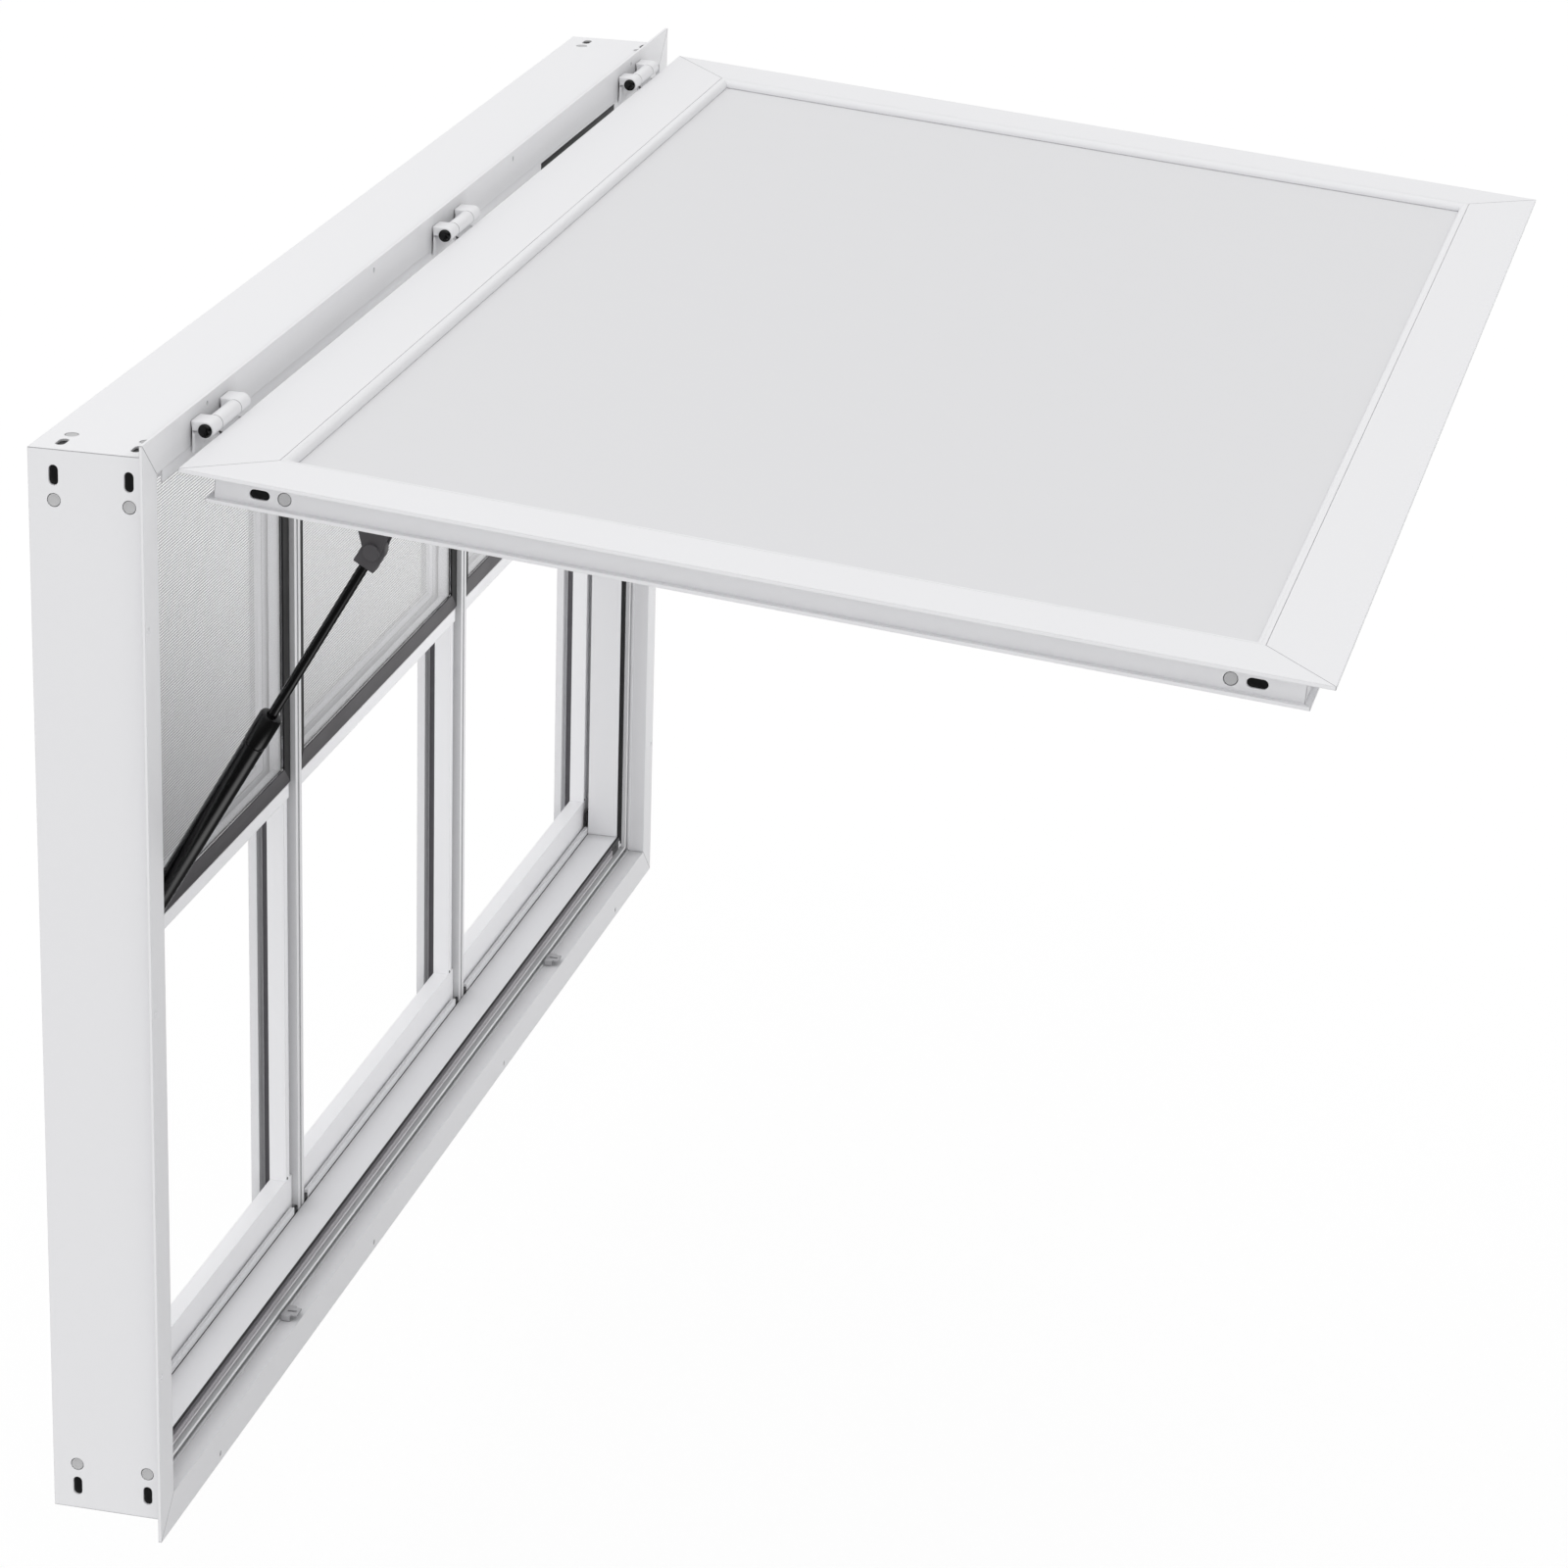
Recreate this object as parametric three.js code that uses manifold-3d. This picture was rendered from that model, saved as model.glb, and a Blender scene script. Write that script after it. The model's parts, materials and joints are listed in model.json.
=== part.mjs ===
// Serving window with a top-hinged awning hatch, three glazed bays and sliding insect screens.
//
// Millimetres. +X is to the right as seen from outside, +Y goes into the room, +Z is up.
// The origin lies on the back face of the front flange, which seats on the wall, at the middle of
// the lower row of screws. The hatch is modelled open, on its gas struts.

import * as THREE from 'three';
import { mergeVertices } from 'three/addons/utils/BufferGeometryUtils.js';
import Module from 'manifold-3d';

const wasm = await Module();
wasm.setup();

// ---------------------------------------------------------------------------------------------
// Driving dimensions
// ---------------------------------------------------------------------------------------------

// Outer frame. Insets are measured inwards from the outer edge of the flange, depths from its face.
const frameWidth = 1524;
const frameHeight = 914;
const flangeThick = 2.5;
const flangeLap = 13; // how far the flange reaches past the body
const frameWall = 2; // wall of the frame extrusion
const outerLedgeInset = 30;
const outerLedgeWidth = 15.6; // from the flange face to the fine lip
const lipRise = 1.5;
const lipThick = 1.8;
const thinRibInset = 33.5;
const ribInset = 39.5; // outer edge of the paired ribs
const ribWidth = 3.5;
const gasketWidth = 6; // black strip on the inner edge of the riser
const innerLedgeInset = 53;
const innerLedgeWidth = 32.1;
const trackInset = 33.5; // floor of the window track
const trackWidth = 32.5;
const backLipInset = 45.5;
const backLipThick = 7.5;
const blockLength = 24; // end blocks in the sill's riser
const blockDepth = 1.6;
const blockScrewDiameter = 3.6;

// Holes in the frame
const screwInset = 7; // row of screws from the flange's edge
const screwHoleDiameter = 4.8;
const longScrewPitch = 413.4;
const shortScrewPitch = 311.6;
const slotLength = 16;
const slotWidth = 7.6;
const slotFromEnd = 33;
const plugDiameter = 11;
const plugFromEnd = 52.5;
const frontHoleDepth = 15.8; // the two rows of holes in the frame's sides
const backHoleDepth = 75.3;

// Inner window
const bayNames = ['left', 'centre', 'right'];
const mullionWidth = 16;
const mullionWall = 1.8;
const mullionGroove = 4;
const mullionGrooveDepth = 2.4;
const mullionFlangeWidth = 40;
const stopThick = 3.5; // strip that stands behind the sill's inner ledge
const stopRise = 7; // how far it stands above that ledge
const stopSetback = 11; // its end to the mullion's side
const jambSetback = 3.5; // its end to the jamb's track floor
const bayFrameDepth = 15.5;
const stileWidth = 16.2;
const stileGroove = 7.2; // width of the groove next to the mullion
const stileGrooveDepth = 5.5;
const bottomRailTop = 87; // above the flange's lower edge
const topRailDrop = 64; // below the flange's upper edge
const railWall = 1.8;
const railSetback = 0.25; // rails' faces behind the stiles' faces
const midRailRise = 18.6; // its top above the middle of the frame
const midRailHeight = 27;
const midRailDepth = 13.5;
const noseHeight = 12.6; // front strip of the mid rail, under the glazing gasket
const glassThick = 4;
const glazingBand = 14; // face width of the glazing gasket on the frame
const glazingBite = 2; // how far it laps the glass
const glazingSkin = 1.5;
const screenMemberWidth = 30;
const screenThick = 8;
const screenLap = 23.1; // lower edge of the raised screen below the mid rail's top
const meshThick = 0.6;

// Hatch. Insets are measured inwards from the plate's edge, depths from its outer face.
const hatchInset = 24; // plate edge to flange edge, all round
const plateThick = 3;
const plateGap = 4; // plate to flange, hatch closed
const hatchDepth = 28;
const channelInset = 21.8; // bottom of the channel that runs round the edge
const lowerLipInset = 17;
const lowerLipThick = 3;
const hatchFaceWidth = 59;
const hatchWall = 2;
const hatchSkin = 2.5; // walls of the face and of the underside
const beadWidth = 7.7;
const beadHeight = 7.1;
const beadFlat = 1.5;
const panelThick = 3;
const panelLedge = 11;
const panelLedgeThick = 2;
const hatchSlotFromEnd = 57.3;
const hatchPlugFromEnd = 76.8;
const hatchHoleDepth = 16.6;
const openAngle = 85; // degrees from closed

// Hinges
const hingeFromEnd = 123; // outer hinge's middle from the plate's end
const hingeLength = 86;
const outerKnuckle = 21.3;
const barrelRadius = 6.5;
const hingePinRadius = 3;
const hingeAxisOut = 4.9; // in front of the plate's face
const hingeAxisUp = 7.6; // above the plate's edge
const earThick = 3;
const earTop = 2.9; // below the axis
const earBottom = 18.6;
const armThick = 7.6;
const leafBackThick = 1.3;
const strapThick = 1.7;
const strapLength = 24; // below the axis
const capRadius = 6.25;
const capHeight = 3.2;

// Gas struts
const strutInset = 66; // centre plane of the strut from the flange's edge
const upperPivotDown = 143.8; // from the plate's hinge edge
const upperPivotIn = 48.3; // from the plate's outer face
const lowerPivotIn = 39; // from the flange's face
const lowerPivotRise = 16.4; // above the mid rail's top
const rodRadius = 4;
const cylinderRadius = 9;
const cylinderWall = 1.5;
const cylinderStart = 163; // from the upper pivot, hatch open
const collarLength = 27;
const collarGroove = 2;
const neckLength = 6;
const pistonPlay = 7; // piston to the neck, hatch open
const pistonLength = 12;
const fittingWidth = 18;
const fittingThick = 11.4;
const fittingReach = 16; // pivot to the fitting's square end
const strutPinRadius = 4;
const pinHeadRadius = 6.5;
const pinHeadHeight = 3.4;
const earPlate = 3;
const bracketLength = 28;
const bracketEndRadius = 7;
const jambPlateThick = 2.7;
const jambPlateWidth = 24;
const jambPlateHeight = 50;

// Latches
const latchFromEnd = 327; // from the plate's end
const latchTravel = 7;
const bladeThick = 2.2;
const bladeWidth = 7;
const bladeDepth = 15.5; // middle of the blade from the plate's outer face
const bladeTip = 15; // from the plate's edge, drawn back
const bladeEnd = 48;
const stemStart = 41;
const stemLength = 6;
const housingStart = 29.8;
const housingLength = 28.2;
const housingWidth = 40;
const housingThick = 5;
const knobWidth = 16;
const knobLength = 14;
const knobHeight = 7.4;
const keeperWidth = 20;
const keeperHeight = 5.2;
const keeperThick = 1.6;
const keeperFront = 2; // from the flange's face
const keeperNotch = 3; // how far its front part is narrower on each side
const keeperNotchLength = 5.5;

// Clearances
const seat = 0.3; // between pieces that are fixed together
const running = 0.5; // between pieces that slide or turn
const sealClearance = 0.4; // between the closed hatch and the frame's riser

// ---------------------------------------------------------------------------------------------
// Dependent dimensions
// ---------------------------------------------------------------------------------------------

const plateFront = plateGap + plateThick; // closed hatch, in front of the flange's face
const sealDepth = hatchDepth - plateFront + sealClearance;
const innerLedgeFront = sealDepth + lipThick;
const innerLedgeBack = innerLedgeFront + innerLedgeWidth;
const trackBack = innerLedgeBack + trackWidth;
const frameDepth = trackBack + backLipThick;

const stopFront = innerLedgeBack + running;
const bayFrameFront = stopFront + stopThick + 2 * running + 1;
const bayFrameBack = bayFrameFront + bayFrameDepth;
const trackFoot = trackInset + seat; // lower end of what stands in the track
const riserEnd = frameWidth / 2 - innerLedgeInset; // where the sill's riser meets the jambs'
const bayCount = bayNames.length;
const jambLine = trackInset - mullionWidth / 2;
const bayPitch = (frameWidth - 2 * jambLine) / bayCount;
const bayWidth = bayPitch - mullionWidth - 2 * seat;
const sightWidth = bayWidth - 2 * stileWidth;
const midRailTop = frameHeight / 2 + midRailRise;
const glassBottom = midRailTop;
const glassTop = frameHeight - topRailDrop;
const screenRaised = midRailTop - screenLap;
const screenHeight = frameHeight - trackInset - 2 * running - screenRaised;

const hatchWidth = frameWidth - 2 * hatchInset;
const hatchHeight = frameHeight - 2 * hatchInset;
const hingePitch = hatchWidth / 2 - hingeFromEnd;
const latchFromCentre = hatchWidth / 2 - latchFromEnd;
const panelTop = beadHeight + seat;
const panelLedgeTop = panelTop + panelThick + seat;
const panelInset = hatchFaceWidth + running;

const hingeY = -(plateFront + hingeAxisOut);
const hingeZ = frameHeight - hatchInset + hingeAxisUp;
const boreRadius = hingePinRadius + seat;

const lowerPivotUp = midRailTop + lowerPivotRise;
const openRadians = THREE.MathUtils.degToRad(openAngle);
const upperPivot = new THREE.Vector2(hingeAxisOut + upperPivotIn, -hingeAxisUp - upperPivotDown)
  .rotateAround(new THREE.Vector2(), -openRadians)
  .add(new THREE.Vector2(hingeY, hingeZ)); // (depth, height) of the upper pivot, hatch open
const strutRun = new THREE.Vector2(lowerPivotIn, lowerPivotUp).sub(upperPivot);
const strutLength = strutRun.length();
const strutAngle = Math.atan2(strutRun.x, -strutRun.y);
const rodReach = cylinderStart + neckLength + pistonPlay + pistonLength;

// ---------------------------------------------------------------------------------------------
// Materials
// ---------------------------------------------------------------------------------------------

function finish(color, roughness, metalness) {
  return () => new THREE.MeshStandardMaterial({ color, roughness, metalness });
}

const whitePowderCoat = finish(0xededef, 0.45, 0);
const whitePanel = finish(0xe4e4e6, 0.4, 0);
const blackRubber = finish(0x1c1c1e, 0.7, 0);
const satinBlack = finish(0x161617, 0.35, 0.2);
const glossBlack = finish(0x050505, 0.1, 0);
const darkSteel = finish(0x555356, 0.5, 0.6);
const greyZinc = finish(0xa5a5a8, 0.4, 0.8);
const greyMesh = finish(0xb8b8ba, 0.6, 0.3);

function clearGlass() {
  return new THREE.MeshStandardMaterial({
    color: 0xe6ecec,
    roughness: 0.02,
    metalness: 0,
    transparent: true,
    opacity: 0.3,
  });
}

// ---------------------------------------------------------------------------------------------
// Geometry helpers
// ---------------------------------------------------------------------------------------------

// A closed three.js geometry as a solid for cutting and joining.
function solidOf(geometry) {
  const bare = geometry.clone();
  bare.deleteAttribute('normal');
  bare.deleteAttribute('uv');
  const merged = mergeVertices(bare);
  return new wasm.Manifold(
    new wasm.Mesh({
      numProp: 3,
      vertProperties: new Float32Array(merged.attributes.position.array),
      triVerts: new Uint32Array(merged.index.array),
    }),
  );
}

function geometryOf(solid) {
  const mesh = solid.getMesh();
  const geometry = new THREE.BufferGeometry();
  geometry.setAttribute('position', new THREE.BufferAttribute(mesh.vertProperties, 3));
  geometry.setIndex(new THREE.BufferAttribute(mesh.triVerts, 1));
  geometry.computeVertexNormals();
  return geometry;
}

function joined(geometries) {
  return geometryOf(geometries.map(solidOf).reduce((whole, piece) => whole.add(piece)));
}

function cut(geometry, cutters) {
  return geometryOf(cutters.map(solidOf).reduce((rest, cutter) => rest.subtract(cutter), solidOf(geometry)));
}

function box(xs, ys, zs) {
  const geometry = new THREE.BoxGeometry(xs[1] - xs[0], ys[1] - ys[0], zs[1] - zs[0]);
  return geometry.translate((xs[0] + xs[1]) / 2, (ys[0] + ys[1]) / 2, (zs[0] + zs[1]) / 2);
}

function outline(points) {
  return new THREE.Shape(points.map(([a, b]) => new THREE.Vector2(a, b)));
}

function hollow(shape, ...holes) {
  shape.holes = holes.map((points) => new THREE.Path(points.map(([a, b]) => new THREE.Vector2(a, b))));
  return shape;
}

function circle(radius, x = 0, y = 0) {
  return new THREE.Shape().absarc(x, y, radius, 0, 2 * Math.PI);
}

function obround(length, width) {
  const reach = (length - width) / 2;
  const slot = new THREE.Shape();
  slot.absarc(reach, 0, width / 2, -Math.PI / 2, Math.PI / 2);
  slot.absarc(-reach, 0, width / 2, Math.PI / 2, (3 * Math.PI) / 2);
  return slot;
}

function extrude(shape, depth, curveSegments = 8) {
  return new THREE.ExtrudeGeometry(shape, { depth, bevelEnabled: false, curveSegments });
}

// An outline in (y, z) carried along X, from one x to another.
function alongX(shape, [from, to], curveSegments) {
  const turn = new THREE.Matrix4().makeBasis(
    new THREE.Vector3(0, 1, 0),
    new THREE.Vector3(0, 0, 1),
    new THREE.Vector3(1, 0, 0),
  );
  return extrude(shape, to - from, curveSegments).applyMatrix4(turn).translate(from, 0, 0);
}

// An outline in (x, z) carried along Y, from one depth to another.
function alongY(shape, [from, to], curveSegments) {
  const turn = new THREE.Matrix4().makeBasis(
    new THREE.Vector3(1, 0, 0),
    new THREE.Vector3(0, 0, 1),
    new THREE.Vector3(0, -1, 0),
  );
  return extrude(shape, to - from, curveSegments).applyMatrix4(turn).translate(0, to, 0);
}

// An outline in (x, y) carried along Z, from one height to another.
function alongZ(shape, [from, to], curveSegments) {
  return extrude(shape, to - from, curveSegments).translate(0, 0, from);
}

// A profile of (inset, depth) points carried along X with both ends mitred at 45 degrees. The
// inset becomes Z, the depth Y, and the longest edge lies on Z = 0.
function mitredBar(shape, length) {
  const bar = extrude(shape, length);
  const place = bar.attributes.position;
  const shave = seat / Math.SQRT2;
  for (let i = 0; i < place.count; i += 1) {
    const mitre = place.getX(i) + shave;
    place.setZ(i, place.getZ(i) < length / 2 ? mitre : length - mitre);
  }
  return bar.translate(0, 0, -length / 2).rotateY(-Math.PI / 2);
}

// A profile of (inset, depth) points carried round a rectangle that stands on Z = 0.
function mitredRing(profile, width, height) {
  const points = profile.map(([a, b]) => new THREE.Vector2(a, b));
  if (!THREE.ShapeUtils.isClockWise(points)) {
    points.reverse();
  }
  const place = [];
  for (const [side, top] of [[-1, 0], [1, 0], [1, 1], [-1, 1]]) {
    for (const { x: inset, y: depth } of points) {
      place.push(side * (width / 2 - inset), depth, top ? height - inset : inset);
    }
  }
  const index = [];
  const count = points.length;
  for (let corner = 0; corner < 4; corner += 1) {
    for (let j = 0; j < count; j += 1) {
      const next = (j + 1) % count;
      const here = corner * count;
      const there = ((corner + 1) % 4) * count;
      index.push(here + j, here + next, there + next, here + j, there + next, there + j);
    }
  }
  const ring = new THREE.BufferGeometry();
  ring.setAttribute('position', new THREE.Float32BufferAttribute(place, 3));
  ring.setIndex(index);
  ring.computeVertexNormals();
  return ring;
}

// A profile of (radius, height) points turned round the Z axis.
function turned(points, segments = 20) {
  const profile = points.map(([radius, height]) => new THREE.Vector2(radius, height));
  return new THREE.LatheGeometry(profile, segments).rotateX(Math.PI / 2);
}

function mesh(name, geometry, material) {
  const piece = new THREE.Mesh(geometry, material());
  piece.name = name;
  return piece;
}

// Four mitred bars as a rectangle that stands on Z = 0. Each side names its mesh and its cutters.
function barFrame(shape, width, height, sides) {
  const group = new THREE.Group();
  const places = {
    low: { length: width, turn: 0, x: 0, z: 0 },
    high: { length: width, turn: Math.PI, x: 0, z: height },
    left: { length: height, turn: Math.PI / 2, x: -width / 2, z: height / 2 },
    right: { length: height, turn: -Math.PI / 2, x: width / 2, z: height / 2 },
  };
  for (const [side, { name, cutters }] of Object.entries(sides)) {
    const { length, turn, x, z } = places[side];
    const bar = mesh(name, cut(mitredBar(shape, length), cutters(length)), whitePowderCoat);
    bar.rotation.y = turn;
    bar.position.set(x, 0, z);
    group.add(bar);
  }
  return group;
}

// ---------------------------------------------------------------------------------------------
// Outer frame
// ---------------------------------------------------------------------------------------------

// Section of the frame extrusion, as (inset, depth), with its three chambers.
function frameSection() {
  const lipTop = outerLedgeInset + lipRise;
  const lipBack = outerLedgeWidth + lipThick;
  const grooveFloor = outerLedgeInset - 1;
  const grooveBack = sealDepth - 1.4;
  const deepGroove = sealDepth + 3.6;
  const rib2 = ribInset + ribWidth + 0.5;
  const rib2End = rib2 + ribWidth;
  const gasketBack = sealDepth + 4.8;
  const ledgeWall = innerLedgeInset - frameWall;
  const section = outline([
    [0, 0],
    [outerLedgeInset, 0],
    [outerLedgeInset, outerLedgeWidth],
    [lipTop, outerLedgeWidth],
    [lipTop, lipBack],
    [grooveFloor, lipBack],
    [grooveFloor, grooveBack],
    [thinRibInset, grooveBack],
    [thinRibInset, grooveBack - 1.4],
    [thinRibInset + 1.5, grooveBack - 1.4],
    [thinRibInset + 1.5, deepGroove],
    [ribInset, deepGroove],
    [ribInset, sealDepth],
    [ribInset + ribWidth, sealDepth],
    [ribInset + ribWidth, sealDepth + 1.2],
    [rib2, sealDepth + 1.2],
    [rib2, sealDepth],
    [rib2End, sealDepth],
    [rib2End, gasketBack],
    [ledgeWall, gasketBack],
    [ledgeWall, innerLedgeFront + 0.2],
    [innerLedgeInset, innerLedgeFront + 0.2],
    [innerLedgeInset, innerLedgeBack],
    [trackInset, innerLedgeBack],
    [trackInset, trackBack],
    [backLipInset, trackBack],
    [backLipInset, frameDepth],
    [flangeLap, frameDepth],
    [flangeLap, flangeThick],
    [0, flangeThick],
  ]);
  const outerWall = flangeLap + frameWall;
  const front = flangeThick + frameWall;
  const riserBack = gasketBack + frameWall;
  const trackWall = trackInset - frameWall;
  const frontChamber = [
    [outerWall, front],
    [grooveFloor - frameWall, front],
    [grooveFloor - frameWall, gasketBack],
    [outerWall, gasketBack],
  ];
  const middleChamber = [
    [outerWall, riserBack],
    [ledgeWall, riserBack],
    [ledgeWall, innerLedgeBack - frameWall],
    [outerWall, innerLedgeBack - frameWall],
  ];
  const trackChamber = [
    [outerWall, innerLedgeBack],
    [trackWall, innerLedgeBack],
    [trackWall, trackBack + frameWall],
    [backLipInset - frameWall, trackBack + frameWall],
    [backLipInset - frameWall, frameDepth - frameWall],
    [outerWall, frameDepth - frameWall],
  ];
  return hollow(section, frontChamber, middleChamber, trackChamber);
}

// Slots and plug holes near both ends of a member, in the two rows of its outer side.
function sideHoles(length) {
  const cutters = [];
  const through = [flangeLap - 1, flangeLap + frameWall + 1];
  for (const end of [-1, 1]) {
    for (const depth of [frontHoleDepth, backHoleDepth]) {
      const slot = alongZ(obround(slotLength, slotWidth), through, 4);
      cutters.push(slot.translate(end * (length / 2 - slotFromEnd), depth, 0));
      const hole = alongZ(circle(plugDiameter / 2), through, 7);
      cutters.push(hole.translate(end * (length / 2 - plugFromEnd), depth, 0));
    }
  }
  return cutters;
}

function screwHoles(places) {
  const through = [-1, flangeThick + 1];
  return places.map((x) => alongY(circle(screwHoleDiameter / 2, x, screwInset), through, 8));
}

function longScrews() {
  return screwHoles([-1.5, -0.5, 0.5, 1.5].map((step) => step * longScrewPitch));
}

function shortScrews() {
  return screwHoles([-1, 0, 1].map((step) => step * shortScrewPitch));
}

// Where the fine lip of the sill makes way for the two keepers.
function keeperNotches() {
  return [-latchFromCentre, latchFromCentre].map((x) =>
    box(
      [x - keeperWidth / 2 - seat, x + keeperWidth / 2 + seat],
      [outerLedgeWidth - 0.5, outerLedgeWidth + lipThick + 0.5],
      [outerLedgeInset, outerLedgeInset + lipRise + 1],
    ),
  );
}

// Room for the two end blocks in the sill's riser, with the same room in the strip above it.
function blockRecesses() {
  const far = riserEnd - seat - blockLength - seat;
  return [[-riserEnd - 0.1, -far], [far, riserEnd + 0.1]].map((xs) =>
    box(xs, [sealDepth - 1, sealDepth + blockDepth + seat], [ribInset - 0.5, innerLedgeInset + 0.5]),
  );
}

// Plastic block that closes the end of the riser's grooves, with a screw hole.
function sillBlock(name, side) {
  const middle = side * (riserEnd - seat - blockLength / 2);
  const rise = [ribInset, innerLedgeInset - seat];
  const depth = [sealDepth, sealDepth + blockDepth];
  const block = box([middle - blockLength / 2, middle + blockLength / 2], depth, rise);
  const through = [sealDepth - 1, sealDepth + blockDepth + 1];
  const hole = alongY(circle(blockScrewDiameter / 2, middle, (rise[0] + rise[1]) / 2), through, 6);
  return mesh(name, cut(block, [hole]), blackRubber);
}

function outerFrame() {
  const sillCutters = [...longScrews(), ...keeperNotches(), ...blockRecesses()];
  return barFrame(frameSection(), frameWidth, frameHeight, {
    low: { name: 'sill', cutters: (length) => [...sideHoles(length), ...sillCutters] },
    high: { name: 'head', cutters: (length) => [...sideHoles(length), ...longScrews()] },
    left: { name: 'left_jamb', cutters: (length) => [...sideHoles(length), ...shortScrews()] },
    right: { name: 'right_jamb', cutters: (length) => [...sideHoles(length), ...shortScrews()] },
  });
}

// Rubber strip with a tongue in the riser's groove and a low dome that the hatch closes on.
function weatherGasket() {
  const outer = innerLedgeInset - gasketWidth + seat;
  const inner = innerLedgeInset - 0.2;
  const tongueEnd = innerLedgeInset - frameWall - seat;
  const tongueBack = sealDepth + 4.8 - seat;
  const shoulder = innerLedgeFront - seat;
  const section = [
    [outer, tongueBack],
    [tongueEnd, tongueBack],
    [tongueEnd, shoulder],
    [inner, shoulder],
    [inner, sealDepth + 0.7],
    [inner - 1.2, sealDepth],
    [outer + 1, sealDepth],
    [outer, sealDepth + 1],
  ];
  const ring = cut(mitredRing(section, frameWidth, frameHeight), blockRecesses());
  return mesh('weather_gasket', ring, blackRubber);
}

// ---------------------------------------------------------------------------------------------
// Inner window
// ---------------------------------------------------------------------------------------------

// Line on which mullion or jamb side number i lies, counted from the left.
function bayLine(i) {
  return -frameWidth / 2 + jambLine + i * bayPitch;
}

function mullion(name) {
  const half = mullionWidth / 2;
  const groove = mullionGroove / 2;
  const flange = mullionFlangeWidth / 2;
  const section = hollow(
    outline([
      [-half, stopFront],
      [-groove, stopFront],
      [-groove, stopFront + mullionGrooveDepth],
      [groove, stopFront + mullionGrooveDepth],
      [groove, stopFront],
      [half, stopFront],
      [half, trackBack],
      [flange, trackBack],
      [flange, frameDepth],
      [-flange, frameDepth],
      [-flange, trackBack],
      [-half, trackBack],
    ]),
    [
      [-half + mullionWall, stopFront + mullionGrooveDepth + mullionWall],
      [half - mullionWall, stopFront + mullionGrooveDepth + mullionWall],
      [half - mullionWall, frameDepth - mullionWall],
      [-half + mullionWall, frameDepth - mullionWall],
    ],
  );
  const bar = alongZ(section, [trackFoot, frameHeight - trackFoot]);
  const across = [-flange - 1, flange + 1];
  const behind = [trackBack - seat, frameDepth + 1];
  const backLipEnd = backLipInset + seat;
  const feet = [
    box(across, behind, [0, backLipEnd]),
    box(across, behind, [frameHeight - backLipEnd, frameHeight]),
  ];
  return mesh(name, cut(bar, feet), whitePowderCoat);
}

// Grooved strip behind the sill's inner ledge; its ends stop short of the mullions.
function sashStop(name, from, to) {
  const top = innerLedgeInset + stopRise;
  const third = stopThick / 3;
  const section = outline([
    [stopFront, trackFoot],
    [stopFront + stopThick, trackFoot],
    [stopFront + stopThick, top],
    [stopFront + 2 * third, top],
    [stopFront + 2 * third, top - 1.2],
    [stopFront + third, top - 1.2],
    [stopFront + third, top],
    [stopFront, top],
  ]);
  return mesh(name, alongX(section, [from, to]), whitePowderCoat);
}

function stile(side) {
  const outer = bayWidth / 2;
  const section = outline([
    [side * outer, bayFrameFront + stileGrooveDepth],
    [side * (outer - stileGroove), bayFrameFront + stileGrooveDepth],
    [side * (outer - stileGroove), bayFrameFront],
    [side * (outer - stileWidth), bayFrameFront],
    [side * (outer - stileWidth), bayFrameBack],
    [side * outer, bayFrameBack],
  ]);
  return alongZ(section, [bottomRailTop - railWall / 2, frameHeight - trackFoot]);
}

// Channel rail whose closed side is its sight line and whose open side stands in the track.
function channelRail(half, sightLine, foot) {
  const web = sightLine - railWall * Math.sign(sightLine - foot);
  const front = bayFrameFront + railSetback;
  const back = bayFrameBack - railSetback;
  const section = outline([
    [front, foot],
    [front, sightLine],
    [back, sightLine],
    [back, foot],
    [back - railWall, foot],
    [back - railWall, web],
    [front + railWall, web],
    [front + railWall, foot],
  ]);
  return alongX(section, [-half, half]);
}

// Stiles that stand on the bottom rail, with the top rail between them.
function bayFrame(name) {
  const half = bayWidth / 2;
  const frame = joined([
    stile(-1),
    stile(1),
    channelRail(half - railSetback, bottomRailTop, trackFoot),
    channelRail(half - stileWidth + railWall, glassTop, frameHeight - trackFoot - railWall),
  ]);
  return mesh(name, frame, whitePowderCoat);
}

// Transom with a front nose that laps the faces of the stiles.
function midRail(name) {
  const low = midRailTop - midRailHeight;
  const nose = noseHeight;
  const noseFront = bayFrameFront - glazingSkin - seat;
  const noseHalf = bayWidth / 2 - stileGroove - seat;
  const bodyHalf = sightWidth / 2 - seat;
  const rear = bayFrameFront + midRailDepth;
  const rail = joined([
    box([-noseHalf, noseHalf], [noseFront, bayFrameFront - seat], [low, low + nose]),
    box([-bodyHalf, bodyHalf], [noseFront, rear], [low, low + nose]),
    box([-bodyHalf, bodyHalf], [bayFrameFront, rear], [low, midRailTop]),
  ]);
  return mesh(name, rail, whitePowderCoat);
}

// Rubber channel round the glass, with a flat band on the faces of the stiles and rails.
function glazingGasket(name) {
  const face = bayFrameFront - seat;
  const front = face - glazingSkin;
  const web = glazingBand + seat;
  const inner = glazingBand + glazingBite;
  const glassFront = face + seat / 3;
  const rear = glassFront + glassThick + seat;
  const section = [
    [0, front],
    [inner, front],
    [inner, face - 0.1],
    [web + 0.7, face - 0.1],
    [web + 0.7, rear],
    [inner, rear],
    [inner, rear + 1.2],
    [web, rear + 1.2],
    [web, face],
    [0, face],
  ];
  const width = sightWidth + 2 * glazingBand;
  const height = glassTop - glassBottom + 2 * glazingBand;
  const ring = mitredRing(section, width, height).translate(0, 0, glassBottom - glazingBand);
  return mesh(name, ring, blackRubber);
}

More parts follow.
